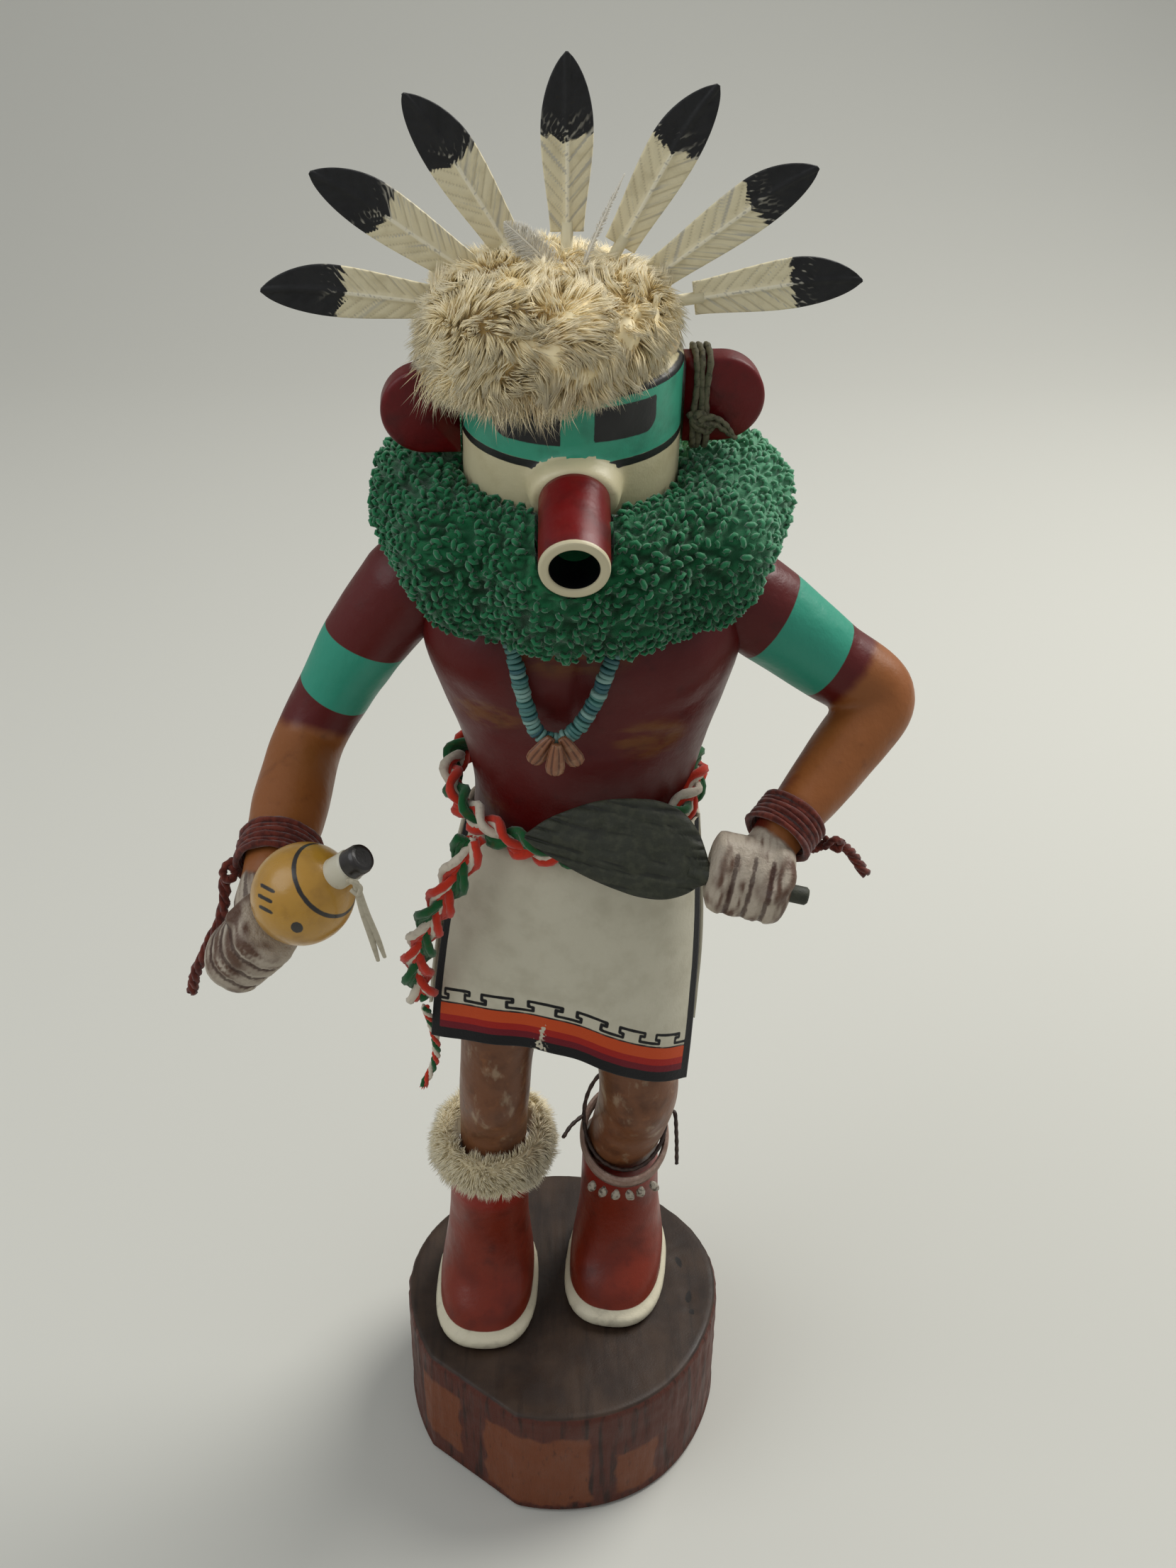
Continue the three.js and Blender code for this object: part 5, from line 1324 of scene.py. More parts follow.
def fringe():
    """Fine hair that falls from the brow's edge over the forehead and the tops of the eyes."""
    n = 2500
    u = 0.5 + 0.5 * np.clip(rng.normal(0.38, 0.25, n), -0.14, 0.92)
    v = rng.uniform(0.0, 0.16, n)
    roots = crown_at(u, v, 0.985)
    angle = 2 * PI * u
    outward = circle(angle)
    lock = np.sin(np.floor(u * 90) * 12.9898) + 0.5 * np.sin(np.floor(u * 41) * 78.233)
    middle = np.exp(-(((u - 0.72) / 0.13) ** 2))
    right = np.exp(-(((u - 0.53) / 0.07) ** 2))
    length = rng.uniform(3.0, 5.5, n) + rng.random(n) ** 2.0 * (5.0 * middle + 6.0 * right) * (1 + 0.3 * lock)
    direction = -Z + outward * (0.42 + 0.4 * right + 0.25 * rng.normal(size=n))[:, None]
    direction += (0.35 * lock)[:, None] * X + 0.24 * rng.normal(size=(n, 3))
    t = np.linspace(0, 1, 4)
    path = roots[:, None] + (length[:, None] * t)[..., None] * unit(direction)[:, None]
    path -= outward[:, None] * (0.16 * length[:, None] * t**2)[..., None]
    path += (0.12 * length[:, None] * t**2)[..., None] * rng.normal(size=(n, 1, 3))
    return strands(path, rng.uniform(0.15, 0.24, n)), roots


(hp, hq, ht, per), roots = fringe()
piece("fur_crown_fringe", head_shape((hp, hq, ht)), FUR, "fur", paint=fur_tints(roots, per, 3, -0.05))


# ---------- two bits of white down ----------
DOWN = fur_paint("white_down", "d9d3c2", "b3aa92", "efeadd", 0.8)


def plume(path, quill, reach, count, lean, one_side=0.0):
    """A fine quill with barbs that leave it on both sides in one plane."""
    line = curve(path, 60)
    tangent, side, _ = frames(line, start=Y)
    shape = tube(line, np.linspace(quill, quill * 0.35, 61), 8)
    t = np.sort(rng.random(count)) ** 0.9
    k = np.minimum((t * 60).astype(int), 59)
    which = np.where(rng.random(count) < 0.5 + 0.5 * one_side, 1.0, -1.0)
    across = side[k] * which[:, None]
    profile = reach * np.sin(PI * np.clip(t * 0.92 + 0.08, 0, 1)) ** 0.8
    direction = across + tangent[k] * lean + 0.12 * rng.normal(size=(count, 3))
    hp, hq, ht, per = hairs(line[k], direction, profile * rng.uniform(0.7, 1.05, count),
                            np.full(count, 0.22), 0.05, 0.25, 4)
    whole = merge([shape, (hp, hq, ht)])
    return whole, {"tint": np.concatenate([np.full(len(shape[0]), 0.3),
                                           np.repeat(rng.random(count) * 0.5, per)]),
                   "along": np.full(len(whole[0]), 0.7)}


shape, tints = plume([(0.6, -9, 366), (-3.5, -9.6, 371.5), (-8, -9.8, 376), (-12.4, -9, 379.6)], 0.4, 4.6,
                     620, 0.7, 0.35)
piece("down_plume_1", shape, DOWN, "down", "plume_1", paint=tints)
shape, tints = plume([(2.4, -9, 366), (5, -8.6, 373), (8.6, -7, 381), (12.4, -5, 388.4)], 0.4, 1.5, 260, 1.4)
piece("down_plume_2", shape, DOWN, "down", "plume_2", paint=tints)

# ---------- yarn ruff ----------
RUFF = np.array([(34, 327.5), (43, 325.5), (48.5, 319.5), (48.3, 311), (44, 302.5), (38, 297), (31.5, 303)])


def ruff_at(u, v, inset=0.0):
    """The ruff: u round from the figure's left, v from its inner top edge over the lip and underneath."""
    angle = 2 * PI * u
    out = circle(angle)
    lump = 1 + 0.03 * np.sin(7 * angle) + 0.025 * np.cos(11 * angle + 1)
    front = np.maximum(-np.sin(angle), 0)
    rows = []
    for r, z in RUFF:
        drop = (4 if z < 305 and r > 35 else 2) * front
        rows.append(vec(4, 1, 0) + out * (r * lump)[:, None]
                    + np.stack([0 * z * lump, 0 * lump, z - drop], 1))
    inner = [in_head(np.array([0, 0, z]) + out * (MASK_RADIUS + 0.9)) for z in (6, 13)]
    rows = np.array(inner + rows)
    level = np.clip(v, 0, 1) * (len(rows) - 1)
    i = np.minimum(level.astype(int), len(rows) - 2)
    w = (level - i)[:, None]
    cols = np.arange(len(u))
    p0, p1 = rows[np.maximum(i - 1, 0), cols], rows[i, cols]
    p2, p3 = rows[i + 1, cols], rows[np.minimum(i + 2, len(rows) - 1), cols]
    m1, m2 = (p2 - p0) / 2, (p3 - p1) / 2
    w2, w3 = w * w, w**3
    point = (2 * w3 - 3 * w2 + 1) * p1 + (w3 - 2 * w2 + w) * m1 + (3 * w2 - 2 * w3) * p2 + (w3 - w2) * m2
    core = vec(4, 1, 311) + out * 36
    return point + unit(core - point) * inset


RUFF_INSET = 1.3
SNOUT_FOOT = in_head(CUFF_AT)
SNOUT_WAY = HEAD @ SNOUT_AXIS


def snout_gap(points):
    """Distance from the snout's axis, how far along it, and the way out from it."""
    along = (points - SNOUT_FOOT) @ SNOUT_WAY
    away = points - SNOUT_FOOT - along[:, None] * SNOUT_WAY
    return np.linalg.norm(away, axis=1), along, unit(away)


def ruff_normal(u, v):
    e = 1e-3
    du = ruff_at(u + e, v, RUFF_INSET) - ruff_at(u - e, v, RUFF_INSET)
    dv = ruff_at(u, v + e, RUFF_INSET) - ruff_at(u, v - e, RUFF_INSET)
    core = vec(4, 1, 311) + 36 * circle(2 * PI * u)
    normal = unit(np.cross(du, dv))
    return normal * np.sign((normal * (ruff_at(u, v, RUFF_INSET) - core)).sum(1, keepdims=True))


# places of the curls, thinned so that none is too near another
u, v = sampled(lambda a, b: ruff_at(a, 0.03 + 0.97 * b, RUFF_INSET), 9000)
v = 0.03 + 0.97 * v
spots = ruff_at(u, v, RUFF_INSET)
kept, cells = [], {}
for k, spot in enumerate(spots):
    cell = tuple(np.floor(spot / 2.0).astype(int))
    close = [j for dx in (-1, 0, 1) for dy in (-1, 0, 1) for dz in (-1, 0, 1)
             for j in cells.get((cell[0] + dx, cell[1] + dy, cell[2] + dz), [])]
    if all(((spots[j] - spot) ** 2).sum() > 1.75**2 for j in close):
        kept.append(k)
        cells.setdefault(cell, []).append(k)
curl_u, curl_v, curl_at = u[kept], v[kept], spots[kept]
tree = KDTree(len(curl_at))
for k, spot in enumerate(curl_at):
    tree.insert(spot, k)
tree.balance()

rows, sides = 80, 240
u = np.tile(np.arange(sides) / sides, (rows, 1)).ravel()
v = np.repeat(np.linspace(0, 1, rows), sides)
outer = ruff_at(u, v, RUFF_INSET)
distance = np.array([tree.find(p)[2] for p in outer])
swell = np.sqrt(np.clip(1 - (distance / 1.35) ** 2, 0, 1))
outer = outer + ruff_normal(u, v) * (1.5 * swell - 0.7)[:, None]
# the height of the curl bumps, which sets the painted shade between the curls
core_shade = swell
inner_wall = in_head(np.array([0, 0, -1.5])
                     + (MASK_RADIUS + 0.9) * np.stack([np.cos(2 * PI * u[:sides]),
                         np.sin(2 * PI * u[:sides]), 0 * u[:sides]], 1))
base = loft(np.concatenate([inner_wall[None], outer.reshape(rows, sides, 3)]), True)
gap, along, away = snout_gap(base[0])
push = np.where((along > 1) & (along < CUFF_REACH + SNOUT_LENGTH + 6),
                np.maximum(np.where(along < CUFF_REACH + 1, CUFF_WIDE, 7.7) + 0.6 - gap, 0), 0)
base = (base[0] + away * push[:, None], base[1], base[2])
WOOL = Paint("green_wool", "0d5a33", 0.9)
# painted shade and highlight: near black where the pile is low (in the gaps between curls and on the hidden
# inner wall), paler on the curls' tops
WOOL.over("052a14", WOOL.by("depth", 0.55, 0.0, 0, 0.9))
WOOL.over("2f8a5c", WOOL.by("depth", 0.6, 1.0, 0, 0.5))
WOOL.vary("1c7046", 9.0, 0.4, 0.7, 0.5)
# painted light: a paler green laid over the side of the ruff that faces the key lamp
WOOL.over("6fb48d", WOOL.by("lit_side", 0.0, 1.0, 0, 0.55))
WOOL.shader.inputs["Sheen Weight"].default_value = 0.35
WOOL.shader.inputs["Sheen Roughness"].default_value = 0.5
WOOL.shader.inputs["Specular IOR Level"].default_value = 0.2
WOOL.pitted(0.4, 3.0, 0.15)
wool = WOOL.done()
# painted light: rises from 0 to 1 towards the key lamp (the figure's left, back and top), with a soft noise
lit_side_paint = lambda pts: step(12, 44, pts[:, 0] * 0.85 + pts[:, 1] * 0.35
                                + (pts[:, 2] - 311) * 0.35) * (0.6 + 0.4 * noise(pts, 6.0))
piece("yarn_ruff_core", base, wool, "yarn_green", "yarn_ruff",
      paint={"depth": np.concatenate([np.zeros(sides), core_shade * 0.8]), "lit_side": lit_side_paint(base[0])})

# each curl is a small arch of yarn that stands on its bump, turned at random
arch_t = np.linspace(-0.2 * PI, 1.2 * PI, 5)
arch = np.stack([0.72 * np.cos(arch_t), 0 * arch_t, 0.15 + 0.72 * np.sin(arch_t)], 1)
loop = tube(arch, 0.52, 4, start=Y)
normal = ruff_normal(curl_u, curl_v)
gap, along, away = snout_gap(curl_at)
clear = (gap > np.where(along < CUFF_REACH + 1, CUFF_WIDE, 7.7) + 1.5) | (along > CUFF_REACH
    + SNOUT_LENGTH + 6) | (along < 0)
curl_at, normal = curl_at[clear], normal[clear]
tilted = unit(normal + 0.45 * rng.normal(size=curl_at.shape))
m3 = basis(tilted, unit(rng.normal(size=curl_at.shape))) * rng.uniform(0.85, 1.25, (len(curl_at), 1, 1))
loops = copies(loop, m3, curl_at + normal * rng.uniform(0.2, 0.7, (len(curl_at), 1)))
# painted shade: each loop is darker at its foot, where it meets the core, and lighter over its arch
depth = np.tile(step(-0.6, 1.3, loop[0][:, 2]), len(curl_at))
piece("yarn_ruff_loops", loops, wool, "yarn_green",
      paint={"depth": 0.35 + 0.65 * depth, "lit_side": lit_side_paint(loops[0])})

# ---------- necklace of flat stone discs, with three shells ----------
NECKLACE = [(-1.8, -27.4, 266), (-6.2, -27, 268.5), (-9, -26.8, 277), (-11, -26.3, 287),
            (-14.5, -21, 298), (-16.5, -6, 304.5), (-8, 15.5, 306),
            (12, 15.5, 306), (20.5, -6, 304.5), (15.5, -20, 298), (11, -26.3, 287), (7.6, -26.8, 277),
            (2.6, -27, 268.5)]
line = spaced(curve(NECKLACE, 300, True), 1.22, True)
tangent = unit(np.roll(line, -1, 0) - np.roll(line, 1, 0))
disc = turned([(0, -0.5), (1.75, -0.5), (1.95, -0.38), (1.98, 0), (1.95, 0.38), (1.75, 0.5), (0, 0.5)], 16)
size = rng.uniform(0.9, 1.05, len(line))
mats = basis(unit(tangent + 0.05 * rng.normal(size=line.shape)),
             Y + 0 * tangent) * np.stack([size, size, rng.uniform(0.9, 1.12, len(line))], 1)[:, None, :]
discs = copies(disc, mats, line + 0.1 * rng.normal(size=line.shape))
thread = tube(line, 0.5, 8, True)
m = Paint("turquoise_discs", "4c7f78", 0.45)
m.over("2f5f66", m.by("tone", 0.5, 0.9))
m.over("7fa39a", m.by("tone", 0.35, 0.05))
m.vary("37524c", 1.0, 0.6, 0.8, 0.6)
m.pitted(0.6, 3.0, 0.04)
shape = merge([discs, thread])
piece("necklace_discs", shape, m.done(), "beads", "necklace",
      paint={"tone": np.concatenate([np.repeat(rng.random(len(line)), len(disc[0])),
                                     np.zeros(len(thread[0]))])})

m = Paint("ribbed_shell", "8a5a3e", 0.4)
m.over("5a3320", m.by("rib", 0.4, 0.1, 0, 0.9))
m.vary("b08a68", 2.0, 0.5, 0.8, 0.6)
m.pitted(0.5, 3.0, 0.05)
shell_paint = m.done()
for k, (angle, y) in enumerate([(34, -30.2), (3, -32.6), (-28, -30.2)]):
    z = np.linspace(-2.4, -10.6, 30)
    t = (z + 2.4) / -8.2
    w = np.interp(t, [0, 0.27, 0.74, 0.93, 1], [1.1, 1.8, 2.35, 2.0, 1.2])
    thick = np.interp(t, [0, 0.27, 0.74, 1], [0.8, 1, 1.0, 0.6])
    a = np.linspace(0, 2 * PI, 48, endpoint=False)
    ribs = 1 + 0.09 * np.cos(8 * a) * np.sin(a) ** 2
    rings = np.stack([w[:, None] * np.cos(a) * (1 + 0 * ribs),
                      thick[:, None] * np.sin(a) * (1 + 1.6 * (ribs - 1)), np.repeat(z[:, None], 48, 1)], -1)
    shape = loft(rings)
    rib = np.concatenate([np.tile(0.5 + 0.5 * np.cos(8 * a), 30), [1, 1]])
    piece(f"shell_pendant_{k + 1}", moved(shape, turn("y", angle), (-1.4, y, 270.6)), shell_paint,
          "shell", f"pendant_{k + 1}", paint={"rib": rib})

# ---------- sash round the waist ----------
WAIST = vec(2.8, 0, 241)
ring_a = 2 * PI * np.arange(12) / 12
SASH = np.stack([WAIST[0] + 31.4 * np.cos(ring_a), 24.6 * np.sin(ring_a),
                 WAIST[2] - 9 * np.maximum(-np.sin(ring_a), 0) ** 1.3], 1)
shape, tints = braid(curve(SASH, 240, True), 2.0, 1.0, 20.0, 1.15, True, start=X)
piece("sash_braid", shape, BRAID, "yarn_sash", "sash", paint=tints)

# ---------- kilt: two panels of thin leather ----------
def kilt(top, hem, columns):
    s = np.linspace(0, 1, columns + 1)
    top_line, hem_line = curve(top, columns), curve(hem, columns)
    length = np.linalg.norm(top_line - hem_line, axis=1)
    v = np.concatenate([np.linspace(0, 20.5, 56), np.linspace(20.5, 70, 13)[1:]]) / 70.0
    t = 1 - v
    points = top_line[None] + (hem_line - top_line)[None] * t[:, None, None]
    away = unit((points - vec(3, 0, 0)) * [1, 1, 0])
    points = points + away * (1.6 * np.sin(PI * t))[:, None, None]
    ripple = (0.35 * np.sin(9 * s * PI + 0.6)[None] * (t**2)[:, None]
              + 0.25 * (noise(points.reshape(-1, 3), 9.0).reshape(points.shape[:2]) - 0.5))
    points = points + away * ripple[..., None]
    inner = points - away * 0.95
    rings = np.concatenate([points, inner[::-1]], 0).transpose(1, 0, 2)
    n = rings.shape[1]
    shape_points = rings.reshape(-1, 3)
    quads = grid(rings.shape[0], n)
    caps = []
    for r in (0, rings.shape[0] - 1):
        j = np.arange(n // 2 - 1)
        caps.append(np.stack([r * n + j, r * n + j + 1, r * n + n - 2 - j, r * n + n - 1 - j],
                             1)[:, :: (1 if r else -1)])
    shape = facing_out(shape_points, np.vstack([quads, *caps]), NO_TRIS)
    # millimetres above the hem and in from each side, and which face
    above = (v[:, None] * length[None]).repeat(1, 1)
    along = np.concatenate([[0], np.cumsum(np.linalg.norm(np.diff(hem_line, axis=0), axis=1))])
    across = np.repeat(along[None], len(v), 0)
    width = along[-1]
    tag = lambda a, b: np.concatenate([a, b[::-1]], 0).T.ravel()
    outside = tag(np.ones_like(across), np.zeros_like(across))
    return shape, tag(above, above), tag(across, across), outside, width


FRET_UNITS, FRET_HEIGHT, FRET_HALF_LINE = 6.0, 2.9, 0.46


def fret(x, y, width):
    """Distance inside a step-fret line: x along the band, y above its foot. Each step overhangs both ways."""
    w = width / FRET_UNITS
    u = x - np.floor(x / w) * w
    corners = [(0, 0), (0.2, 0), (0.2, 0.42), (0.1, 0.42), (0.1, 1), (0.78, 1), (0.78, 0.6), (0.66, 0.6),
               (0.66, 0), (1, 0)]
    d = np.full(x.shape, 9.0)
    for (x0, y0), (x1, y1) in zip(corners, corners[1:]):
        x0, x1, y0, y1 = x0 * w, x1 * w, y0 * FRET_HEIGHT, y1 * FRET_HEIGHT
        lx, ly = x1 - x0, y1 - y0
        t = np.clip(((u - x0) * lx + (y - y0) * ly) / (lx * lx + ly * ly), 0, 1)
        d = np.minimum(d, np.hypot(u - x0 - t * lx, y - y0 - t * ly))
    return FRET_HALF_LINE - d


m = Paint("painted_kilt", "c9c4b0", 0.8)
m.vary("b3ad98", 8.0, 0.4, 0.75, 0.6)
m.vary("c6c0aa", 2.0, 0.55, 0.8, 0.4)
for code, name in (("c2491c", "orange"), ("9f1c14", "scarlet"), ("6a0d1c", "crimson"), ("121214", "black")):
    m.layer(code, name, 0.12, 0.12, 3.0)
m.layer("c4bda8", "worn", 0.3, 0.4, 1.5)
m.pitted(1.0, 5.0, 0.1).pitted(0.35, 3.0, 0.04)
m.set("Sheen Weight", 0.1)
m.set("Specular IOR Level", 0.25)
KILT = m.done()


def waist_point(degrees):
    return (5 + 30.8 * math.cos(rad(degrees)), 22.8 * math.sin(rad(degrees)), 230)


hem = [(-35.5, -18, 167.3), (-24.5, -25, 171), (-12.5, -28.4, 172.2), (-1, -29.6, 170.6),
       (10.5, -29, 164.6), (23, -26, 157.4), (34.4, -18.5, 152)]
shape, above, across, outside, width = kilt([waist_point(a) for a in (194, 220, 245, 270, 295, 320, 346)],
                                            hem, 200)
edge = np.minimum(across, width - across)
band = lambda low, high: np.where((outside > 0.5), np.minimum(above - low, high - above), -9)
black = np.maximum.reduce([band(-1, 3.3), np.where(outside > 0.5, 3.0 - edge, -9), band(11.1, 11.6),
                           np.where((outside > 0.5) & (edge > 2.6),
                                    fret(across - 3.0, above - 12.5, width - 6.0), -9)])
scuff = noise(np.stack([across, above, 0 * above], 1), 0.55) * 2.4 - 1.6
worn = np.where(outside > 0.5, np.maximum(1.3 - np.hypot((across - 33.2) * 0.9, above - 1.2),
                                          0.6 - np.abs(across - 32.6 - 0.25 * (above - 4)) * 0.8
                                          - np.maximum(above - 8, 0)) + scuff, -9)
kilt_front = piece("kilt_front_panel", shape, KILT, "kilt", "kilt_front",
                   paint={"orange": band(7.3, 11.3), "scarlet": band(5.2, 7.5), "crimson": band(3.0, 5.4),
                          "black": black, "worn": worn})
hem_back = [(36, -12, 168), (35, 4, 169), (25, 19, 170), (2, 25, 170), (-21, 20, 170), (-34, 6, 170),
            (-37, -8, 170)]
shape, above, across, outside, width = kilt([waist_point(a) for a in (-10, 20, 55, 90, 125, 160, 190)],
                                            hem_back, 90)
edge = np.minimum(across, width - across)
none = np.full(len(above), -9.0)
kilt_back = piece("kilt_back_panel", shape, KILT, "kilt", "kilt_back",
                  paint={"orange": none, "scarlet": none, "crimson": none, "black": band(-1, 1.2),
                         "worn": none})

# ---------- cords wound round the wrists ----------
def winding(centre, axis, radius, half, cord, turns):
    steps = 26 * turns
    t = np.linspace(0, 1, steps + 1)
    a = 2 * PI * turns * t
    wob = 0.18 * np.sin(a * 0.37 + 1) + 0.12 * np.sin(a * 1.7)
    line = np.stack([(radius + wob) * np.cos(a), (radius + wob) * np.sin(a),
                     (2 * t - 1) * half + 0.25 * np.sin(a + 1)], 1)
    return tube(moved((line, NO_QUADS, NO_TRIS), basis(vec(*axis), Y), centre)[0], cord, 8, lobes=2,
                depth=0.16, twist=1.8)


piece("right_wrist_winding", merge([
    winding((-67, -38.5, 241), (-1.2, -11, -3.6), 9.2, 4.2, 0.85, 6),
    tube(curve([(-76.4, -40, 241), (-78.6, -41, 240.4), (-79.6, -42.4, 238.6), (-78.2, -43.4, 237.4),
                (-76.8, -42.2, 238.6), (-78.0, -41.2, 240.0)], 40), 0.95, 8, lobes=2, depth=0.16,
                twist=1.8)]),
    TWINE, "yarn_brown", "right_wrist_wrap")
tail = curve([(58, -27, 235), (62, -25, 233.8), (66.4, -24, 235.4), (70.5, -24, 232.6),
              (75.4, -24, 225.6)], 46)
knot = curve([(64.2, -25.4, 234.4), (66.4, -26.2, 237.4), (68.4, -24.6, 235.0), (66.4, -22.6, 233.2),
              (64.6, -24.0, 236.0), (67.4, -25.8, 234.0), (68.8, -24.2, 236.0)], 60)
spin = np.arange(len(tail)) * 0.6
piece("left_wrist_winding", merge([
    winding((54, -27, 242), (-6.2, -6.6, -4.3), 8.1, 4.2, 0.8, 6),
    *[tube(tail + 0.6 * circle(spin + k * 2.1) * (0.6 + 0.9 * np.linspace(0, 1, len(tail))[:, None]),
           0.75, 8, lobes=2, depth=0.2, twist=2.0) for k in range(3)],
    tube(knot, 0.85, 8, lobes=2, depth=0.16, twist=1.8)]), TWINE, "yarn_brown", "left_wrist_wrap")

# ---------- rattle ----------
gourd_basis = basis(RATTLE_AXIS, vec(0.4, -0.9, 0.1))
ball = [(11.2 * math.cos(rad(a)), 12.2 * math.sin(rad(a))) for a in np.linspace(-86, 86, 60)]
gourd = moved(turned([(0, -12.2), *ball, (0, 12.2)], 96), gourd_basis, GOURD_AT)
stick = moved(turned([(0, -38.5), (1.6, -38.5), (2, -38.1), (2, -37), (2, -12), (2, -11), (0, -11)], 24,
                     6), gourd_basis, GOURD_AT)
neck_basis = basis(NECK_AXIS, X)
neck = moved(turned([(0, 6), (3.7, 6), (3.65, 11), (3.55, 14), (3.6, 16.4), (3.3, 16.8), (3.35, 17.2),
                     (3.3, 19.8), (3.0, 20.6), (2.4, 20.8), (0, 20.8)], 48, 6), neck_basis, GOURD_AT)
shape = merge([gourd, stick, neck])
p = shape[0] - GOURD_AT
kind = np.concatenate([np.zeros(len(gourd[0])), np.ones(len(stick[0])), np.full(len(neck[0]), 2.0)])
along_neck, from_neck = p @ NECK_AXIS, np.linalg.norm(np.cross(p, NECK_AXIS), axis=1)
toward = np.degrees(np.arctan2(from_neck, along_neck))
ring_line = np.where(kind == 0, 0.5 - np.abs(toward - 47) * 11.5 * PI / 180, -9)
screen_r, screen_u = cam_right, cam_up
sx, sy = p @ screen_r, p @ screen_u
facing = (p @ -look > 0) & (kind == 0)


def dash(x0, y0, x1, y1, w):
    lx, ly = x1 - x0, y1 - y0
    t = np.clip(((sx - x0) * lx + (sy - y0) * ly) / (lx * lx + ly * ly), 0, 1)
    return np.where(facing, w - np.hypot(sx - x0 - t * lx, sy - y0 - t * ly), -9)


marks = np.maximum.reduce([ring_line, dash(-7.6, 2.4, -4.6, 1.2, 0.42), dash(-8.2, 0.2, -5.2, -1.0, 0.42),
                           dash(-8.0, -2.2, -5.2, -3.4, 0.42),
                           np.where(facing, 1.3 - np.hypot(sx - 0.2, sy + 6.6), -9),
                           np.where(kind == 1, 1.0, -9), np.where((kind == 2) & (along_neck > 16.7), 1.0,
                               -9)])
m = Paint("painted_gourd", "b5862a", 0.32)
m.vary("8f6417", 5.0, 0.45, 0.8, 0.6)
m.layer("c9c4b0", "neck", 0.1)
m.layer("16100c", "marks", 0.12, 0.1, 1.5)
m.pitted(2.0, 3.0, 0.12)
m.set("Coat Weight", 0.4)
m.set("Coat Roughness", 0.2)
piece("painted_rattle", shape, m.done((0.25, 0.45, 4.0)), "gourd", "rattle",
      paint={"marks": marks, "neck": np.where(kind == 2, along_neck - 9.6, -9)})
THONG = [(-43.8, -74.2, 259.4), (-42.4, -74.6, 252), (-40.8, -74.4, 245), (-39.6, -74, 238.6)]
strip = [np.array(THONG) + vec(dx, 0, dz) * np.linspace(0.2, 1, 4)[:, None] for dx,
         dz in ((-0.75, -0.4), (0.75, 0.6))]
m = Paint("white_thong", "b5ad98", 0.75)
m.vary("8f8872", 1.5, 0.45, 0.8, 0.6)
m.pitted(0.5, 3.0, 0.06)
piece("rattle_thong_strips", merge([limb(s, [(0.62, 0.4), (0.7, 0.42), (0.7, 0.4), (0.45, 0.3)], 14, 40)
                                    for s in strip]
      + [tube(curve([(-45.6, -73.0, 259.0), (-44.4, -74.8, 260.0), (-42.8, -74.8, 258.6),
                     (-43.4, -74.9, 256.8), (-44.9, -74.2, 257.6)], 24), 0.55, 10)]), m.done(),
                     "thong_white", "rattle_thong")

# ---------- wand: a grooved leaf on a stick ----------
face = vec(0.1, -0.86, 0.5)
face = unit(face - (face @ WAND_AXIS) * WAND_AXIS)
wide = np.cross(WAND_AXIS, face)
LEAF = np.array([(0.2, 0.6, 1, 0), (4, 3.6, 1.3, 1.1), (9, 6.2, 1.6, 2.1), (16, 9.2, 1.8, 2.9),
                 (24, 11.1, 1.9, 3.2), (30, 11.7, 2, 3.2), (36, 10.6, 2, 2.8),
                 (40.5, 7.6, 2, 2), (43, 4.6, 2, 1.2), (44.6, 2.6, 2, 0.2)])
rows = curve(LEAF, 110)
sides = 96
a = np.linspace(0, 2 * PI, sides, endpoint=False)
rings = ovals(WAND_TIP - rows[:, :1] * WAND_AXIS + rows[:, 3:] * wide, wide, face, rows[:, 1], rows[:, 2],
              sides, 2.6)
across_leaf = rows[:, 1:2] * np.sign(np.cos(a)) * np.abs(np.cos(a)) ** (2 / 2.6)
bow = across_leaf + rows[:, 3:] + 1.2 * np.sin(rows[:, :1] / 14)
g = noise(np.stack([bow.ravel() * 1.0, rows[:, :1].repeat(sides, 1).ravel() * 0.07, 0 * bow.ravel()], 1),
          0.75).reshape(bow.shape)
g2 = noise(np.stack([bow.ravel() * 1.0, rows[:, :1].repeat(sides, 1).ravel() * 0.12,
                     0 * bow.ravel() + 30], 1), 0.4).reshape(bow.shape)
groove = step(0.5, 0.2, g) * 0.5 + 0.25 * g2
rings = rings - (np.sign(np.sin(a)) * groove * np.abs(np.sin(a)) ** 0.3)[..., None] * face
leaf = loft(rings)
wand_stick = tube([WAND_TIP - 40 * WAND_AXIS, WAND_TIP - 52 * WAND_AXIS, WAND_END + 0.6 * WAND_AXIS,
                   WAND_END], [2.2, 2.2, 2.2, 1.7], 24)
m = Paint("dark_green_wand", "26291c", 0.7)
m.vary("3b3d2e", 2.0, 0.4, 0.7, 0.8)
m.over("15170f", m.by("groove", 0.35, 0.7, 0, 0.8))
m.pitted(0.6, 4.0, 0.12)
piece("carved_wand", merge([leaf, wand_stick]), m.done((0.55, 0.75, 4.0)), "wand", "wand",
      paint={"groove": np.concatenate([groove.ravel(), [0, 0], np.zeros(len(wand_stick[0]))])})

# ---------- fur anklet ----------
ANKLE = vec(-20.6, 0.3, 107.5)


def anklet_at(u, v):
    """The hide's surface: u round the leg, v round the roll."""
    a, b = 2 * PI * u, 2 * PI * v
    out = circle(a)
    lump = 1 + 0.05 * np.sin(4 * a) + 0.035 * np.cos(7 * a)
    middle = ANKLE + np.stack([14.0 * np.cos(a), 15.4 * np.sin(a), 2.4 + 0 * a], 1)
    return middle + out * (2.9 * lump * np.cos(b))[:, None] + Z * (5.6 * np.sin(b))[:, None]


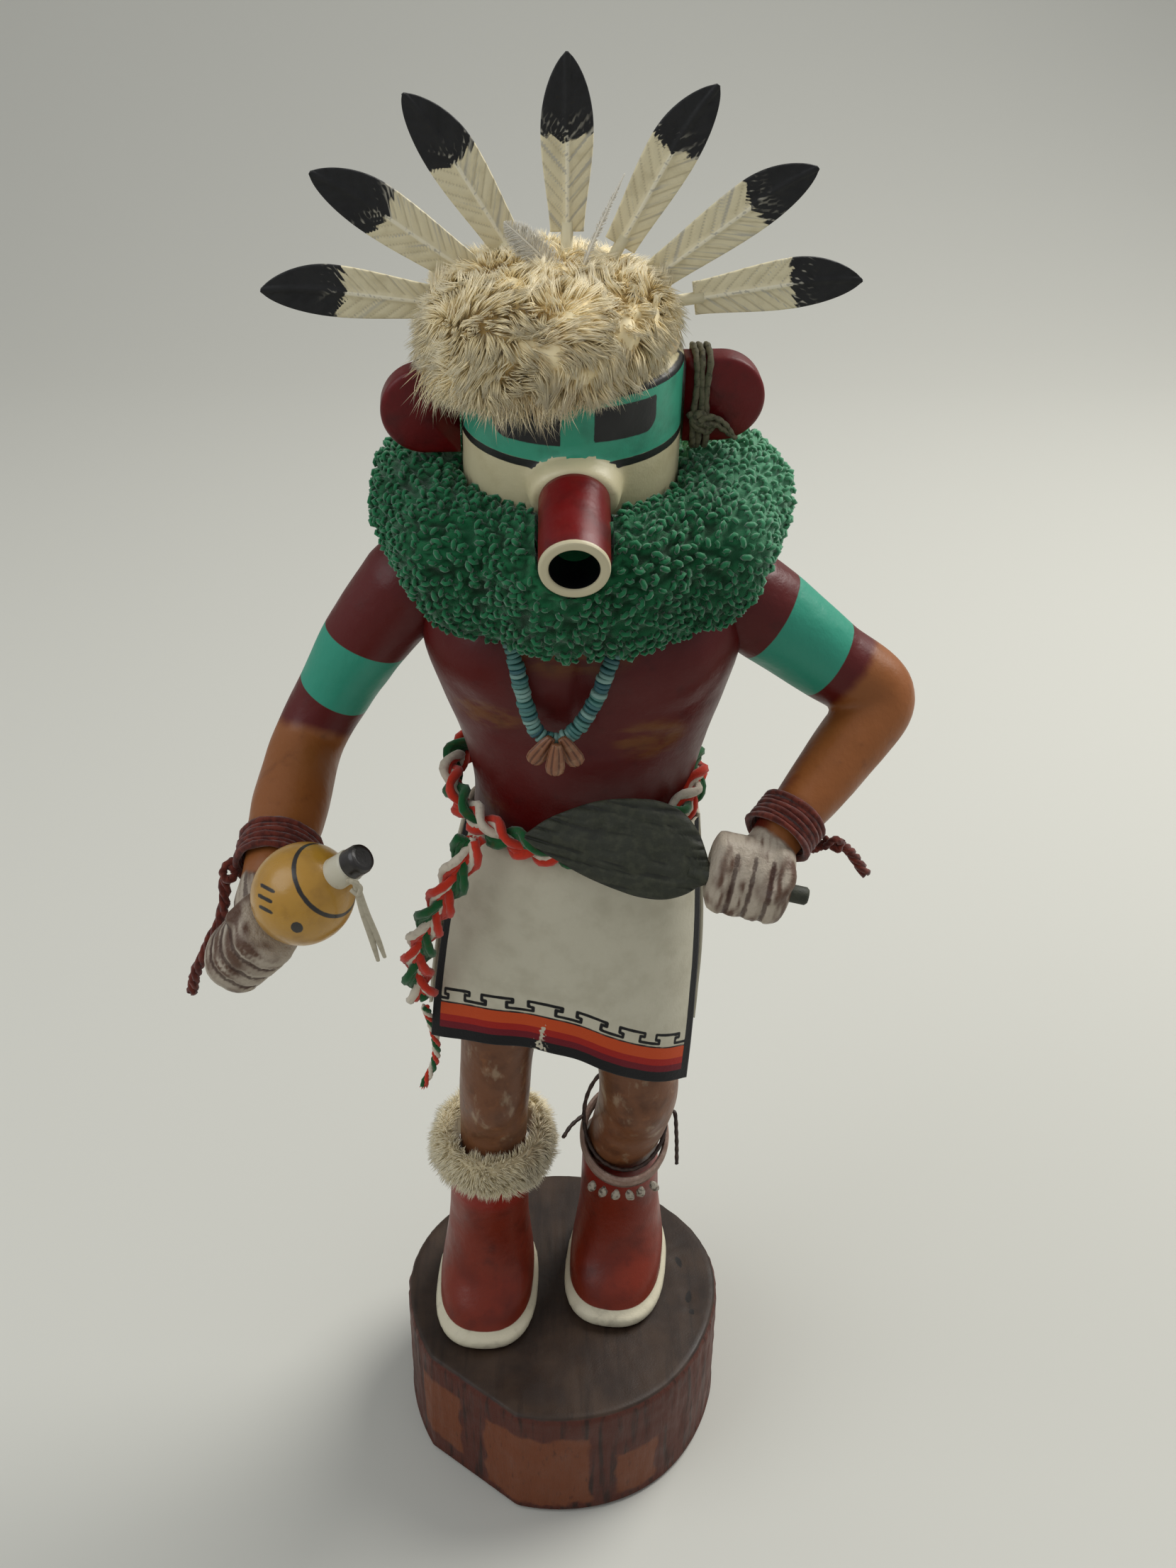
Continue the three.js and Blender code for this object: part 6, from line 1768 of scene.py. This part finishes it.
rows, sides = 110, 32
u = np.repeat(np.arange(rows) / rows, sides)
v = np.tile(np.arange(sides) / sides, rows)
ring = anklet_at(u, v)
ring += 1.2 * (noise(ring, 3.0) - 0.5)[:, None] * unit(ring - ANKLE)
ANKLE_FUR = fur_paint("anklet_fur", "e3d6b2", "8d7b5f", "f3ead0")
base = loft(ring.reshape(rows, sides, 3), True)
shade = lambda pts: 0.3 + 0.6 * step(2, 15, pts[:, 0] - ANKLE[0]) * step(14, -6, pts[:, 1])
piece("anklet_hide", base, ANKLE_FUR, "fur", "fur_anklet",
      paint={"tint": 0.4 + 0.5 * shade(base[0]), "along": np.zeros(len(base[0]))})


def anklet_surface(n):
    u, v = sampled(anklet_at, int(n * 1.45))
    bare = np.cos(2 * PI * v) < -0.55
    u, v = u[~bare][:n], v[~bare][:n]
    a, b = 2 * PI * u, 2 * PI * v
    out = circle(a)
    normal = unit(out * np.cos(b)[:, None] / 2.9 + Z * np.sin(b)[:, None] / 5.6)
    return anklet_at(u, v), normal, unit(0.5 * out - Z)


(hp, hq, ht, per), roots = fur(7200, 420, anklet_surface, (3.2, 4.4), 0.28, 0.5, 0.5, 0.28, 0.5, segments=2)
tints = fur_tints(roots, per, 2)
tints["tint"] = np.clip(tints["tint"] * 0.5 + np.repeat(shade(roots), per) * 0.7 - 0.2, 0, 1)
piece("anklet_hair", (hp, hq, ht), ANKLE_FUR, "fur", paint=tints)

# ---------- knee band, cord and nubs ----------
KNEE = lambda p, tilt=30, height=108: np.asarray(p) @ turn("x", tilt).T + vec(18, 3.6, height)
a = np.linspace(0, 2 * PI, 120, endpoint=False)
path = np.stack([12.5 * np.cos(a) + 0.7, 14.4 * np.sin(a), 0 * a], 1)
out = circle(a)
b = np.linspace(0, 2 * PI, 36, endpoint=False)
power = 2 / 3
bx = 0.8 * np.sign(np.cos(b)) * np.abs(np.cos(b)) ** power
bz = 4.2 * np.sign(np.sin(b)) * np.abs(np.sin(b)) ** power
ripple = 0.3 * np.sin(a * 3 + 0.5)
rings = (path[:, None] + out[:, None] * (bx[None, :, None] + 0.18 * np.cos(b * 6)[None, :, None])
         + (bz[None, :, None] + ripple[:, None, None]) * Z)
m = Paint("soft_strap", "8a6f62", 0.7)
m.vary("a58f82", 2.5, 0.4, 0.7, 0.8)
m.vary("4a3128", 1.2, 0.55, 0.8, 0.6)
m.pitted(0.7, 4.0, 0.15)
band_shape = loft(rings, True)
piece("knee_band_strap", (KNEE(band_shape[0]), band_shape[1], band_shape[2]), m.done(), "strap", "knee_band")
m = Paint("dark_cord", "2a1a13", 0.6)
m.vary("4a352a", 1.5, 0.45, 0.7, 0.8)
m.pitted(0.4, 3.0, 0.06)
cord_loop = np.stack([12.3 * np.cos(a) + 0.7, 15.6 * np.sin(a), 0.3 * np.sin(3 * a)], 1)
KNEE_ENDS = [[(6.4, 4.4, 115.6), (2.6, -1.4, 116.8), (0.3, -7, 117.7)],
             [(31, 4.4, 115.6), (33.2, 1, 120), (34, -1, 113), (34.5, -2, 101.6)]]
piece("knee_cord_twist", merge([
    tube(KNEE(cord_loop, 42, 115.6), 0.6, 10, True, 2, 0.12, 1.0),
    *[tube(curve(e, 40), 0.58, 10, lobes=2, depth=0.12, twist=1.0) for e in KNEE_ENDS]]), m.done(),
    "cord_dark", "knee_cord")
m = Paint("silvery_nub", "a89f90", 0.45)
m.vary("4a4038", 1.1, 0.45, 0.65, 0.95)
m.pitted(0.8, 3.0, 0.2)
m.set("Metallic", 0.15)
nub_paint = m.done()
for k, degrees in enumerate((-33, -20, -6.5, 6.5, 20, 33)):
    c, s = math.sin(rad(degrees)), -math.cos(rad(degrees))
    lean = 0.5 * math.sin(2.6 * k + 0.7)
    spots = [((16.4 + o) * c + lean * t, (16.9 + o) * s, z) for o, z,
             t in ((0, -1.4, 0), (0.5, -3.2, 0.5), (0.9, -5.0, 1.2), (0.4, -6.2, 2.0))]
    nub_shape = limb(spots, [(0.7, 0.7), (1.35, 1.1), (1.2, 0.9), (0.5, 0.5)], 20, 20)
    pts = nub_shape[0] + 0.5 * (noise(nub_shape[0] + 20 * k, 1.2) - 0.5)[:, None] * unit(vec(c, s, 0.4))
    piece(f"knee_nub_{k + 1}", (KNEE(pts), nub_shape[1], nub_shape[2]), nub_paint, "nub", f"nub_{k + 1}")

low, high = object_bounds()
